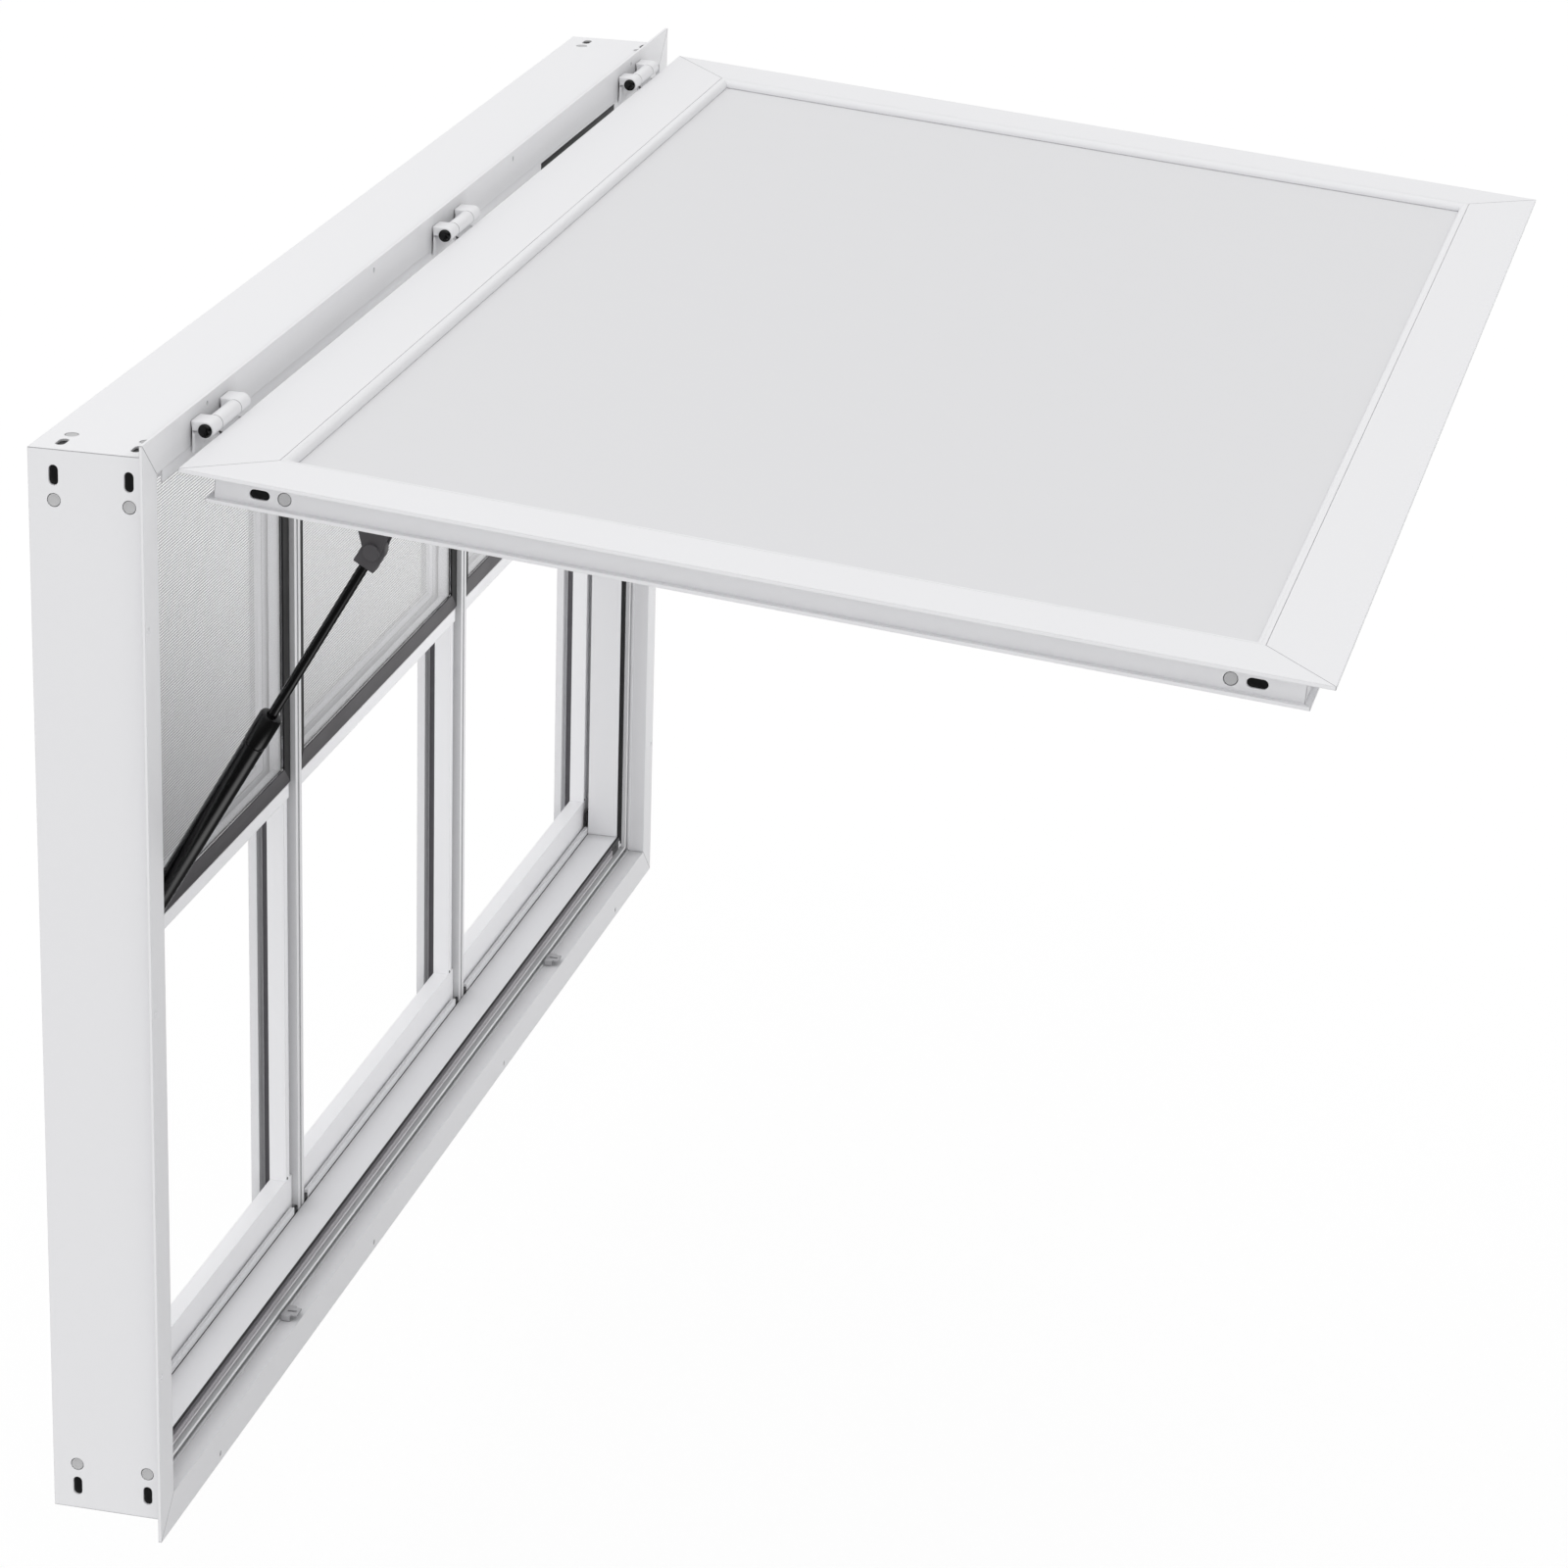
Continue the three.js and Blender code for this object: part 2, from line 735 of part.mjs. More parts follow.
function glassPane(name) {
  const edge = 0.7 + 2 * seat;
  const half = sightWidth / 2 - edge;
  const front = bayFrameFront - seat / 2;
  const pane = box([-half, half], [front, front + glassThick], [glassBottom + edge, glassTop - edge]);
  return mesh(name, pane, clearGlass);
}

// Screen with a groove for its spline, between the bay frame and the back lips.
function screenFrame(name) {
  const back = trackBack - 2 * seat;
  const front = back - screenThick;
  const splineEdge = screenMemberWidth - 4;
  const section = [
    [0, front],
    [splineEdge - 2, front],
    [splineEdge - 2, front + 1.6],
    [splineEdge, front + 1.6],
    [splineEdge, front],
    [screenMemberWidth, front + 2],
    [screenMemberWidth, back],
    [0, back],
  ];
  const width = bayPitch - mullionWidth - 4 * seat;
  const ring = mitredRing(section, width, screenHeight).translate(0, 0, screenRaised);
  return mesh(name, ring, whitePowderCoat);
}

function screenMesh(name) {
  const half = (bayPitch - mullionWidth - 4 * seat) / 2 - screenMemberWidth - seat;
  const middle = trackBack - 2 * seat - screenThick / 2 + 1;
  const rim = screenMemberWidth + seat;
  const sheet = box(
    [-half, half],
    [middle - meshThick / 2, middle + meshThick / 2],
    [screenRaised + rim, screenRaised + screenHeight - rim],
  );
  return mesh(name, sheet, greyMesh);
}

function innerWindow() {
  const group = new THREE.Group();
  bayNames.forEach((bay, i) => {
    const pieces = [
      bayFrame(`bay_frame_${bay}`),
      midRail(`mid_rail_${bay}`),
      glazingGasket(`glazing_gasket_${bay}`),
      glassPane(`glass_${bay}`),
      screenFrame(`screen_frame_${bay}`),
      screenMesh(`screen_mesh_${bay}`),
    ];
    for (const piece of pieces) {
      piece.position.x = (bayLine(i) + bayLine(i + 1)) / 2;
      group.add(piece);
    }
    const leftEnd = bayLine(i) + mullionWidth / 2 + (i === 0 ? jambSetback : stopSetback);
    const rightEnd = bayLine(i + 1) - mullionWidth / 2 - (i === bayCount - 1 ? jambSetback : stopSetback);
    group.add(sashStop(`sash_stop_${bay}`, leftEnd, rightEnd));
  });
  for (let i = 1; i < bayCount; i += 1) {
    const post = mullion(`mullion_${i === 1 ? 'left' : 'right'}`);
    post.position.x = bayLine(i);
    group.add(post);
  }
  return group;
}

// ---------------------------------------------------------------------------------------------
// Hatch
// ---------------------------------------------------------------------------------------------

// Section of the hatch extrusion, as (inset, depth): face plate, edge channel, lip and panel ledge.
function hatchSection() {
  const lipTop = hatchDepth - lowerLipThick;
  const inner = hatchFaceWidth - hatchWall;
  return hollow(
    outline([
      [0, 0],
      [hatchFaceWidth, 0],
      [hatchFaceWidth, panelLedgeTop],
      [hatchFaceWidth + panelLedge, panelLedgeTop],
      [hatchFaceWidth + panelLedge, panelLedgeTop + panelLedgeThick],
      [hatchFaceWidth, panelLedgeTop + panelLedgeThick],
      [hatchFaceWidth, hatchDepth],
      [lowerLipInset, hatchDepth],
      [lowerLipInset, lipTop],
      [channelInset, lipTop],
      [channelInset, plateThick],
      [0, plateThick],
    ]),
    [
      [channelInset + hatchWall, hatchSkin],
      [inner, hatchSkin],
      [inner, hatchDepth - hatchSkin],
      [channelInset + hatchWall, hatchDepth - hatchSkin],
    ],
  );
}

function hatchSideHoles(length) {
  const cutters = [];
  const through = [channelInset - 1, channelInset + hatchWall + 1];
  for (const end of [-1, 1]) {
    const slot = alongZ(obround(slotLength, slotWidth), through, 4);
    cutters.push(slot.translate(end * (length / 2 - hatchSlotFromEnd), hatchHoleDepth, 0));
    const hole = alongZ(circle(plugDiameter / 2), through, 7);
    cutters.push(hole.translate(end * (length / 2 - hatchPlugFromEnd), hatchHoleDepth, 0));
  }
  return cutters;
}

// Stretch of slot that the latch's stem needs, as insets from the plate's edge.
function stemSlot() {
  return [stemStart - latchTravel - running, stemStart + stemLength + running];
}

// In the outer rail: a slot for each blade in the channel and one for its stem in the underside.
function latchSlots() {
  const half = bladeThick / 2 + running;
  const bladeHalf = bladeWidth / 2 + running;
  return [-latchFromCentre, latchFromCentre].flatMap((x) => [
    box(
      [x - half, x + half],
      [bladeDepth - bladeHalf, bladeDepth + bladeHalf],
      [channelInset - 1, channelInset + hatchWall + 1],
    ),
    box([x - half, x + half], [hatchDepth - hatchSkin - 1, hatchDepth + 1], stemSlot()),
  ]);
}

function hatchRails() {
  return barFrame(hatchSection(), hatchWidth, hatchHeight, {
    low: { name: 'hatch_outer_rail', cutters: latchSlots },
    high: { name: 'hatch_hinge_rail', cutters: () => [] },
    left: { name: 'hatch_left_rail', cutters: hatchSideHoles },
    right: { name: 'hatch_right_rail', cutters: hatchSideHoles },
  });
}

function hatchPanel() {
  const half = hatchWidth / 2 - panelInset;
  const sheet = box([-half, half], [panelTop, panelTop + panelThick], [panelInset, hatchHeight - panelInset]);
  return mesh('hatch_panel', sheet, whitePanel);
}

// Bead with a quarter-round fall from the rails' face to the panel.
function hatchBead() {
  const outer = hatchFaceWidth + seat;
  const inner = outer + beadWidth;
  const steps = 5;
  const section = [[outer, beadHeight], [outer, 0]];
  for (let i = 0; i <= steps; i += 1) {
    const turn = (i / steps) * (Math.PI / 2);
    section.push([
      outer + beadFlat + (beadWidth - beadFlat) * Math.sin(turn),
      (beadHeight - 1) * (1 - Math.cos(turn)),
    ]);
  }
  section.push([inner, beadHeight]);
  return mesh('hatch_bead', mitredRing(section, hatchWidth, hatchHeight), whitePowderCoat);
}

// ---------------------------------------------------------------------------------------------
// Hinges
// ---------------------------------------------------------------------------------------------

function hingeBore() {
  return new THREE.Path().absarc(0, 0, boreRadius, 0, 2 * Math.PI);
}

// Frame leaf: two ears on the flange, each with an arm to its knuckle, joined by a thin back.
// The outline is drawn round the hinge axis as (depth, height).
function frameLeaf(name) {
  const back = -hingeY - seat;
  const earFront = back - earThick;
  const backFront = back - leafBackThick;
  const armTop = barrelRadius;
  const armBottom = armTop - armThick;
  const meet = Math.atan2(armBottom, Math.sqrt(barrelRadius ** 2 - armBottom ** 2));
  const ear = new THREE.Shape();
  ear.moveTo(back, -earBottom);
  ear.lineTo(back, armTop);
  ear.lineTo(0, armTop);
  ear.absarc(0, 0, barrelRadius, Math.PI / 2, 2 * Math.PI + meet);
  ear.lineTo(backFront, armBottom);
  ear.lineTo(backFront, -earTop);
  ear.lineTo(earFront, -earTop);
  ear.lineTo(earFront, -earBottom);
  ear.holes = [hingeBore()];
  const half = hingeLength / 2;
  const leaf = joined([
    alongX(ear, [-half, -half + outerKnuckle], 10),
    alongX(ear, [half - outerKnuckle, half], 10),
    box([-half + 1, half - 1], [backFront, back], [-earBottom, -earTop - 1.5]),
  ]);
  return mesh(name, leaf, whitePowderCoat);
}

// Hatch leaf: middle knuckle with a strap that lies on the back of the hatch's plate.
function hatchLeaf(name) {
  const strapFront = hingeAxisOut + plateThick + seat;
  const strapBack = strapFront + strapThick;
  const from = -0.64;
  const to = 0.31;
  const leaf = new THREE.Shape();
  leaf.moveTo(barrelRadius * Math.cos(to), barrelRadius * Math.sin(to));
  leaf.absarc(0, 0, barrelRadius, to, 2 * Math.PI + from);
  leaf.lineTo(strapFront, -hingeAxisUp + 1);
  leaf.lineTo(strapFront, -strapLength);
  leaf.lineTo(strapBack, -strapLength);
  leaf.lineTo(strapBack, -3);
  leaf.holes = [hingeBore()];
  const half = hingeLength / 2 - outerKnuckle - seat;
  return mesh(name, alongX(leaf, [-half, half], 10), whitePowderCoat);
}

// Pin with a domed cap at each end.
function hingePin(name) {
  const shoulder = hingeLength / 2 + seat;
  const steps = 3;
  const upper = [[hingePinRadius, shoulder], [capRadius, shoulder]];
  for (let i = 0; i <= steps; i += 1) {
    const turn = (i / steps) * (Math.PI / 2);
    upper.push([capRadius * Math.cos(turn), shoulder + 1 + (capHeight - 1) * Math.sin(turn)]);
  }
  upper[upper.length - 1][0] = 0;
  const lower = upper.map(([radius, height]) => [radius, -height]).reverse();
  return mesh(name, turned([...lower, ...upper], 16).rotateY(Math.PI / 2), glossBlack);
}

// ---------------------------------------------------------------------------------------------
// Gas struts. Side is -1 on the left and 1 on the right.
// ---------------------------------------------------------------------------------------------

// Clevis under the hatch, drawn from its pivot as (depth, height) of the closed hatch.
function hatchBracket(name, side) {
  const base = hatchDepth + seat - upperPivotIn;
  const half = bracketLength / 2;
  const ear = new THREE.Shape();
  ear.moveTo(base, half);
  ear.lineTo(base, -half);
  ear.lineTo(0, -bracketEndRadius);
  ear.absarc(0, 0, bracketEndRadius, -Math.PI / 2, Math.PI / 2);
  const earIn = fittingThick / 2 + seat;
  const earOut = earIn + earPlate;
  const pin = new THREE.CylinderGeometry(strutPinRadius, strutPinRadius, 2 * earOut + 2, 16);
  const head = new THREE.CylinderGeometry(pinHeadRadius, pinHeadRadius, pinHeadHeight + 0.5, 20);
  const bracket = joined([
    box([-earOut, earOut], [base, base + 2.5], [-half, half]),
    alongX(ear, [-earOut, -earIn], 5),
    alongX(ear, [earIn, earOut], 5),
    pin.rotateZ(Math.PI / 2),
    head.rotateZ(Math.PI / 2).translate(side * (earOut + (pinHeadHeight - 0.5) / 2), 0, 0),
  ]);
  return mesh(name, bracket, darkSteel);
}

// End fitting: a flat block, round above the pivot and square towards the strut.
function endFitting(hole) {
  const half = fittingWidth / 2;
  const block = new THREE.Shape();
  block.moveTo(-half, -fittingReach);
  block.lineTo(half, -fittingReach);
  block.lineTo(half, 0);
  block.absarc(0, 0, half, 0, Math.PI);
  if (hole > 0) {
    block.holes = [new THREE.Path().absarc(0, 0, hole, 0, 2 * Math.PI)];
  }
  return alongX(block, [-fittingThick / 2, fittingThick / 2], 7);
}

// Rod with its fitting, drawn from the upper pivot straight down.
function strutRod(name) {
  const pistonTop = -rodReach + pistonLength;
  const pistonRadius = cylinderRadius - cylinderWall - running;
  const rod = turned([
    [0, -rodReach],
    [pistonRadius, -rodReach],
    [pistonRadius, pistonTop],
    [rodRadius, pistonTop],
    [rodRadius, -fittingReach + 1],
    [0, -fittingReach + 1],
  ]);
  return mesh(name, joined([rod, endFitting(strutPinRadius + seat)]), satinBlack);
}

// Cylinder with its collar and lower fitting, drawn from the upper pivot straight down. The stub
// pin points at the jamb bracket.
function strutCylinder(name, side) {
  const top = -cylinderStart;
  const bottom = -strutLength + fittingReach - 1;
  const bore = cylinderRadius - cylinderWall;
  const neck = rodRadius + running;
  const grooveTop = top - collarLength;
  const tube = turned([
    [0, bottom],
    [cylinderRadius - 1, bottom],
    [cylinderRadius, bottom + 1.5],
    [cylinderRadius, grooveTop - collarGroove],
    [cylinderRadius - 0.8, grooveTop - collarGroove],
    [cylinderRadius - 0.8, grooveTop],
    [cylinderRadius, grooveTop],
    [cylinderRadius, top - 1.5],
    [cylinderRadius - 1, top],
    [neck, top],
    [neck, top - neckLength],
    [bore, top - neckLength],
    [bore, bottom + neckLength],
    [0, bottom + neckLength],
  ]);
  const stubEnd = strutInset - innerLedgeInset - jambPlateThick - 2 * seat;
  const stub = new THREE.CylinderGeometry(strutPinRadius, strutPinRadius, stubEnd, 16);
  stub.rotateZ(Math.PI / 2).translate((side * stubEnd) / 2, 0, -strutLength);
  const foot = endFitting(0).rotateX(Math.PI).translate(0, 0, -strutLength);
  return mesh(name, joined([tube, foot, stub]), satinBlack);
}

function jambBracket(name, side) {
  const corner = 4;
  const half = jambPlateHeight / 2;
  const wide = jambPlateWidth / 2;
  const plate = new THREE.Shape();
  plate.absarc(wide - corner, half - corner, corner, 0, Math.PI / 2);
  plate.absarc(-wide + corner, half - corner, corner, Math.PI / 2, Math.PI);
  plate.absarc(-wide + corner, -half + corner, corner, Math.PI, 1.5 * Math.PI);
  plate.absarc(wide - corner, -half + corner, corner, 1.5 * Math.PI, 2 * Math.PI);
  const bracket = alongX(plate, [-jambPlateThick / 2, jambPlateThick / 2], 3);
  const piece = mesh(name, bracket, darkSteel);
  const face = frameWidth / 2 - innerLedgeInset - seat - jambPlateThick / 2;
  piece.position.set(side * face, lowerPivotIn, lowerPivotUp);
  return piece;
}

function strut(side, label) {
  const group = new THREE.Group();
  group.add(strutRod(`strut_${label}_rod`), strutCylinder(`strut_${label}_cylinder`, side));
  group.position.set(side * (frameWidth / 2 - strutInset), upperPivot.x, upperPivot.y);
  group.rotation.x = strutAngle;
  return group;
}

// ---------------------------------------------------------------------------------------------
// Latches
// ---------------------------------------------------------------------------------------------

// Bridge-shaped strike on the sill's outer ledge, slotted for the blade.
function keeper(name) {
  const half = keeperWidth / 2;
  const low = outerLedgeInset + seat;
  const top = low + keeperHeight;
  const section = outline([
    [-half, low],
    [-half + keeperThick, low],
    [-half + keeperThick, top - keeperThick],
    [half - keeperThick, top - keeperThick],
    [half - keeperThick, low],
    [half, low],
    [half, top],
    [-half, top],
  ]);
  const bridge = alongY(section, [keeperFront, outerLedgeWidth - seat]);
  const bladeY = bladeDepth - plateFront;
  const slot = box(
    [-bladeThick / 2 - running, bladeThick / 2 + running],
    [bladeY - bladeWidth / 2 - running, bladeY + bladeWidth / 2 + running],
    [top - 2 * keeperThick, top + 1],
  );
  const notches = [[-half - 1, -half + keeperNotch], [half - keeperNotch, half + 1]].map((xs) =>
    box(xs, [keeperFront - 1, keeperFront + keeperNotchLength], [low - 1, top + 1]),
  );
  return mesh(name, cut(bridge, [slot, ...notches]), greyZinc);
}

// Housing on the underside of the outer rail, with the slot that guides the stem.
function latchHousing(name) {
  const under = hatchDepth + seat;
  const half = housingWidth / 2;
  const slotHalf = bladeThick / 2 + running;
  const body = box([-half, half], [under, under + housingThick], [housingStart, housingStart + housingLength]);
  const slot = box([-slotHalf, slotHalf], [under - 1, under + housingThick + 1], stemSlot());
  return mesh(name, cut(body, [slot]), greyZinc);
}

// Flat blade in the rail's chamber, its stem and a ribbed thumb piece.
function latchBolt(name) {
  const half = bladeThick / 2;
  const bladeHalf = bladeWidth / 2;
  const knobFront = hatchDepth + housingThick + 2 * seat;
  const stemMiddle = stemStart + stemLength / 2;
  const knobFrom = stemMiddle - knobLength / 2;
  const ribs = [-1, 0, 1].map((step) => {
    const z = stemMiddle + step * 4;
    return box(
      [-knobWidth / 2 + 1, knobWidth / 2 - 1],
      [knobFront + knobHeight - 3, knobFront + knobHeight],
      [z - 0.8, z + 0.8],
    );
  });
  const bolt = joined([
    box([-half, half], [bladeDepth - bladeHalf, bladeDepth + bladeHalf], [bladeTip, bladeEnd]),
    box([-half, half], [bladeDepth, knobFront + 1], [stemStart, stemStart + stemLength]),
    box(
      [-knobWidth / 2, knobWidth / 2],
      [knobFront, knobFront + knobHeight - 2],
      [knobFrom, knobFrom + knobLength],
    ),
    ...ribs,
  ]);
  return mesh(name, bolt, greyZinc);
}

// ---------------------------------------------------------------------------------------------
// Assembly
// ---------------------------------------------------------------------------------------------

const window = new THREE.Group();
window.position.set(0, -flangeThick, -screwInset);
window.add(outerFrame(), weatherGasket(), innerWindow());

// Everything on the hatch is placed on the closed hatch and swung open about the hinge axis.
const hatch = new THREE.Group();
hatch.position.set(0, hingeY, hingeZ);
hatch.rotation.x = -openRadians;
window.add(hatch);

const hatchPlate = new THREE.Group();
hatchPlate.position.set(0, hingeAxisOut, -hingeAxisUp - hatchHeight);
hatchPlate.add(hatchRails(), hatchPanel(), hatchBead());
hatch.add(hatchPlate);

for (const [i, label] of ['left', 'centre', 'right'].entries()) {
  const x = (i - 1) * hingePitch;
  const leaf = frameLeaf(`hinge_${label}_frame_leaf`);
  const pin = hingePin(`hinge_${label}_pin`);
  for (const piece of [leaf, pin]) {
    piece.position.set(x, hingeY, hingeZ);
    window.add(piece);
  }
  const hatchSide = hatchLeaf(`hinge_${label}_hatch_leaf`);
  hatchSide.position.x = x;
  hatch.add(hatchSide);
}

for (const [side, label] of [[-1, 'left'], [1, 'right']]) {
  const bracket = hatchBracket(`strut_${label}_hatch_bracket`, side);
  bracket.position.set(side * (frameWidth / 2 - strutInset), upperPivotIn, hatchHeight - upperPivotDown);
  hatchPlate.add(bracket);
  window.add(strut(side, label), jambBracket(`strut_${label}_jamb_bracket`, side));

  const strike = keeper(`latch_${label}_keeper`);
  strike.position.x = side * latchFromCentre;
  window.add(strike, sillBlock(`sill_block_${label}`, side));
  for (const piece of [latchHousing(`latch_${label}_housing`), latchBolt(`latch_${label}_bolt`)]) {
    piece.position.x = side * latchFromCentre;
    hatchPlate.add(piece);
  }
}

const servingWindow = new THREE.Group();
servingWindow.add(window);

export default servingWindow;
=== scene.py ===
"""Finishes and fine pieces of a serving window with a top-hinged hatch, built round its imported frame."""

import json
import math

import bmesh
import bpy
import numpy as np
from bpy.props import FloatProperty, FloatVectorProperty, PointerProperty
from bpy.types import Operator, Panel, PropertyGroup
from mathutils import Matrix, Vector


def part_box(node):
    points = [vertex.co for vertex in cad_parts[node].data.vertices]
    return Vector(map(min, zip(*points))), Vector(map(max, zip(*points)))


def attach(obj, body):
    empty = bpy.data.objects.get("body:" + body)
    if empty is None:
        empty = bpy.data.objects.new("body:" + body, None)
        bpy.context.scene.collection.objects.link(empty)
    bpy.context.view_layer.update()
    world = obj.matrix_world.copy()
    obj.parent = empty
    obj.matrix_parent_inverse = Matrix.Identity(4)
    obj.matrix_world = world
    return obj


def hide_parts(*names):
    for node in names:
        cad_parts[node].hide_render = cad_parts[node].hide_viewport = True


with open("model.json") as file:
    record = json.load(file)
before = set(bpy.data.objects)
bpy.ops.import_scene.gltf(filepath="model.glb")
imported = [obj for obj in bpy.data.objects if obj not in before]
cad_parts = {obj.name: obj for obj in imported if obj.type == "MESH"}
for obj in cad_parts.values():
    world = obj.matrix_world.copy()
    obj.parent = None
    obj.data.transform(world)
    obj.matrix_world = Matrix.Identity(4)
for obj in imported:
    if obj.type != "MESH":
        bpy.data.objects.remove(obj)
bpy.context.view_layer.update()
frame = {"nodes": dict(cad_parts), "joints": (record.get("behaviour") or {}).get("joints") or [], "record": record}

bl_info = {
    "name": "Serving Window",
    "version": (1, 0, 0),
    "blender": (4, 5, 0),
    "location": "3D View > Sidebar > Serving Window",
    "description": "Finishes and fine pieces of an aluminium serving window with an awning hatch",
    "category": "Object",
}

MM = 0.001
SIDES = (("left", -1), ("right", 1))
BAYS = ("left", "centre", "right")
ENDS = ((0, 1), (1, -1))  # the low and the high end, each with the way inwards from it
SLOT_OF = {s["node"]: s["material_slot"] for s in frame["record"]["subparts"]}
JOINTS = {j["name"]: j for j in frame["joints"]}
EX, EY, EZ = np.eye(3)

# The frame's outer edges and face, and the hatch's hinge line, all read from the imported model.
FRAME_X = np.array([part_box("left_jamb")[0].x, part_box("right_jamb")[1].x])
FRAME_Z = np.array([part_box("sill")[0].z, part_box("head")[1].z])
FACE_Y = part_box("sill")[0].y
HINGE = np.array(JOINTS["hatch_hinge"]["pos_m"])
OPEN_ANGLE = math.radians(JOINTS["hatch_hinge"]["range_deg"][1])
PLATE_IN, PLATE_DOWN = 4.9 * MM, 7.6 * MM  # the hatch plate's face and top edge, from the hinge line
HATCH_INSET = 24 * MM  # the hatch plate's edge from the frame's edge
# The hatch plate's edges along X, and up and down from the hinge line with the hatch shut.
HATCH_X = FRAME_X + np.array([1, -1]) * HATCH_INSET
HATCH_Z = (-PLATE_DOWN - (FRAME_Z[1] - FRAME_Z[0] - 2 * HATCH_INSET), -PLATE_DOWN)
HINGE_X = {place: sum(corner.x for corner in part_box(f"hinge_{place}_pin")) / 2 for place in BAYS}


def linear(code):
    """An sRGB hex colour as linear red, green and blue."""
    srgb = np.array([int(code[i : i + 2], 16) for i in (1, 3, 5)]) / 255
    return tuple(np.where(srgb <= 0.04045, srgb / 12.92, ((srgb + 0.055) / 1.055) ** 2.4))


# --- Sizes and colours that a user would change ---


def length(name, description, millimetres):
    return FloatProperty(
        name=name, description=description, default=millimetres * MM, min=0, unit="LENGTH", subtype="DISTANCE"
    )


def colour(name, description, code):
    return FloatVectorProperty(
        name=name, description=description, default=linear(code), min=0, max=1, subtype="COLOR"
    )


def share(name, description, value):
    return FloatProperty(name=name, description=description, default=value, min=0, max=1, subtype="FACTOR")


class ServingWindowSizes(PropertyGroup):
    edge: length("Edge round", "Round of the extrusions' and sheets' edges", 1.0)
    seal_edge: length("Seal round", "Round of the rubber seals' edges", 0.5)
    thread_pitch: length("Thread pitch", "Spacing of the insect screen's threads", 2.5)
    # Level threads are drawn wider and upright ones thinner than real ones, which gives the cloth its
    # tone and its fine level lines at the camera's distance.
    level_thread: length("Level thread", "Width of the insect screen's level threads", 1.2)
    upright_thread: length("Upright thread", "Width of the insect screen's upright threads", 0.2)
    plug_radius: length("Plug radius", "Radius of the plugs in the frame's access holes", 4.9)
    pile_height: length("Pile height", "Height of the brush strips in the screen channels", 0.8)
    pad_length: length("Foot pad", "Length of the pads beside the mullions' ends", 10.4)
    spline_radius: length("Spline radius", "Radius of the cord that holds the insect screen", 1.1)
    screw_radius: length("Screw radius", "Radius of the small pan-head screws", 2.2)
    # Drawn wider than a real joint's 0.2 mm, so that it shows at the camera's distance.
    seam_width: length("Seam", "Width of the joint lines at the mitres", 0.6)


class ServingWindowColours(PropertyGroup):
    coat: colour("Powder coat", "Frame, hatch and hinges", "#EBEBED")
    # Painted light: a whiter copy of the coat that lifts the bays in the hatch's shade.
    sash: colour("Sash coat", "Stiles and rails of the bays", "#F7F7F9")
    # Painted highlight: pure white for the bright line along the frame's fine lip.
    rubbed: colour("Rubbed coat", "Fine lip of the frame", "#FFFFFF")
    panel: colour("Panel", "Sheet in the middle of the hatch", "#DEDEE0")
    rubber: colour("Rubber", "Black seals of the jambs, stiles and ledges", "#1D1C1E")
    # Painted reflection and shade: dark grey for the level glazing bands and the riser's groove strip.
    band: colour("Glazing rubber", "Bands round the panes", "#3F3C40")
    # Painted light: grey for the light on the sill's seal face; the same seal is black on the jambs.
    seal: colour("Seal face", "Face of the sill's weather seal", "#656267")
    # Painted light: grey for the lit ribs of the riser on the sill and head.
    ribs: colour("Ribs", "Ribbed strips of the riser", "#A9A6AA")
    seam: colour("Seam", "Joint lines at the mitres", "#A9A8AB")
    lacquer: colour("Lacquer", "Gas strut rods and cylinders", "#030304")
    bracket: colour("Bracket", "Strut brackets", "#4E4C4F")
    cap: colour("Cap", "Hinge pin caps", "#020202")
    zinc: colour("Zinc", "Latches and keepers", "#C4C4C6")
    thread: colour("Thread", "Insect screen", "#8A8A8D")
    plug: colour("Plug", "Access hole plugs", "#BFBFC0")
    pile: colour("Pile", "Brush strips in the screen channels", "#6E6C70")
    # Black of the sill's end blocks; on the pads beside the mullions and behind the slots it is painted shade.
    block: colour("Blocks", "End blocks and pads of the sill and mullions", "#131314")
    glass: colour("Glass", "Tint of the panes", "#F4F4F5")


class ServingWindowStage(PropertyGroup):
    ambient: share("Ambient", "Light that comes evenly from all round", 0.88)
    boxes: FloatProperty(name="Soft boxes", description="Strength of the soft boxes", default=0.22, min=0)
    sun: FloatProperty(name="Sun", description="Strength of the soft sun", default=0.12, min=0)
    fill: FloatProperty(
        name="Fill", description="Power of the lit panel under the hatch", default=0.8, min=0, unit="POWER"
    )
    floor_drop: length("Floor drop", "Floor below the frame", 300)
    lens: FloatProperty(name="Lens", description="Focal length", default=114.3, min=1, unit="CAMERA")
    backdrop: colour("Backdrop", "Floor and backdrop, as seen", "#FFFFFF")
    floor: colour("Floor", "Floor, as it lights the window from below", "#F0F0F0")


# --- Surfaces ---


LONGEST_ROUND = 0.45  # share of an edge that the round at one of its ends may take
SLIGHTEST_BEND = 1e-3  # tangent below which a corner counts as straight
WIDEST_MITRE = 0.3  # cosine at which a sharp corner's mitre is cut short
QUARTER_STEPS = 3  # steps of the quarter round at a slab's edge
SHARP = 32  # degrees between two faces above which their edge stays sharp
WELD = 0.001 * MM  # points closer than this are one


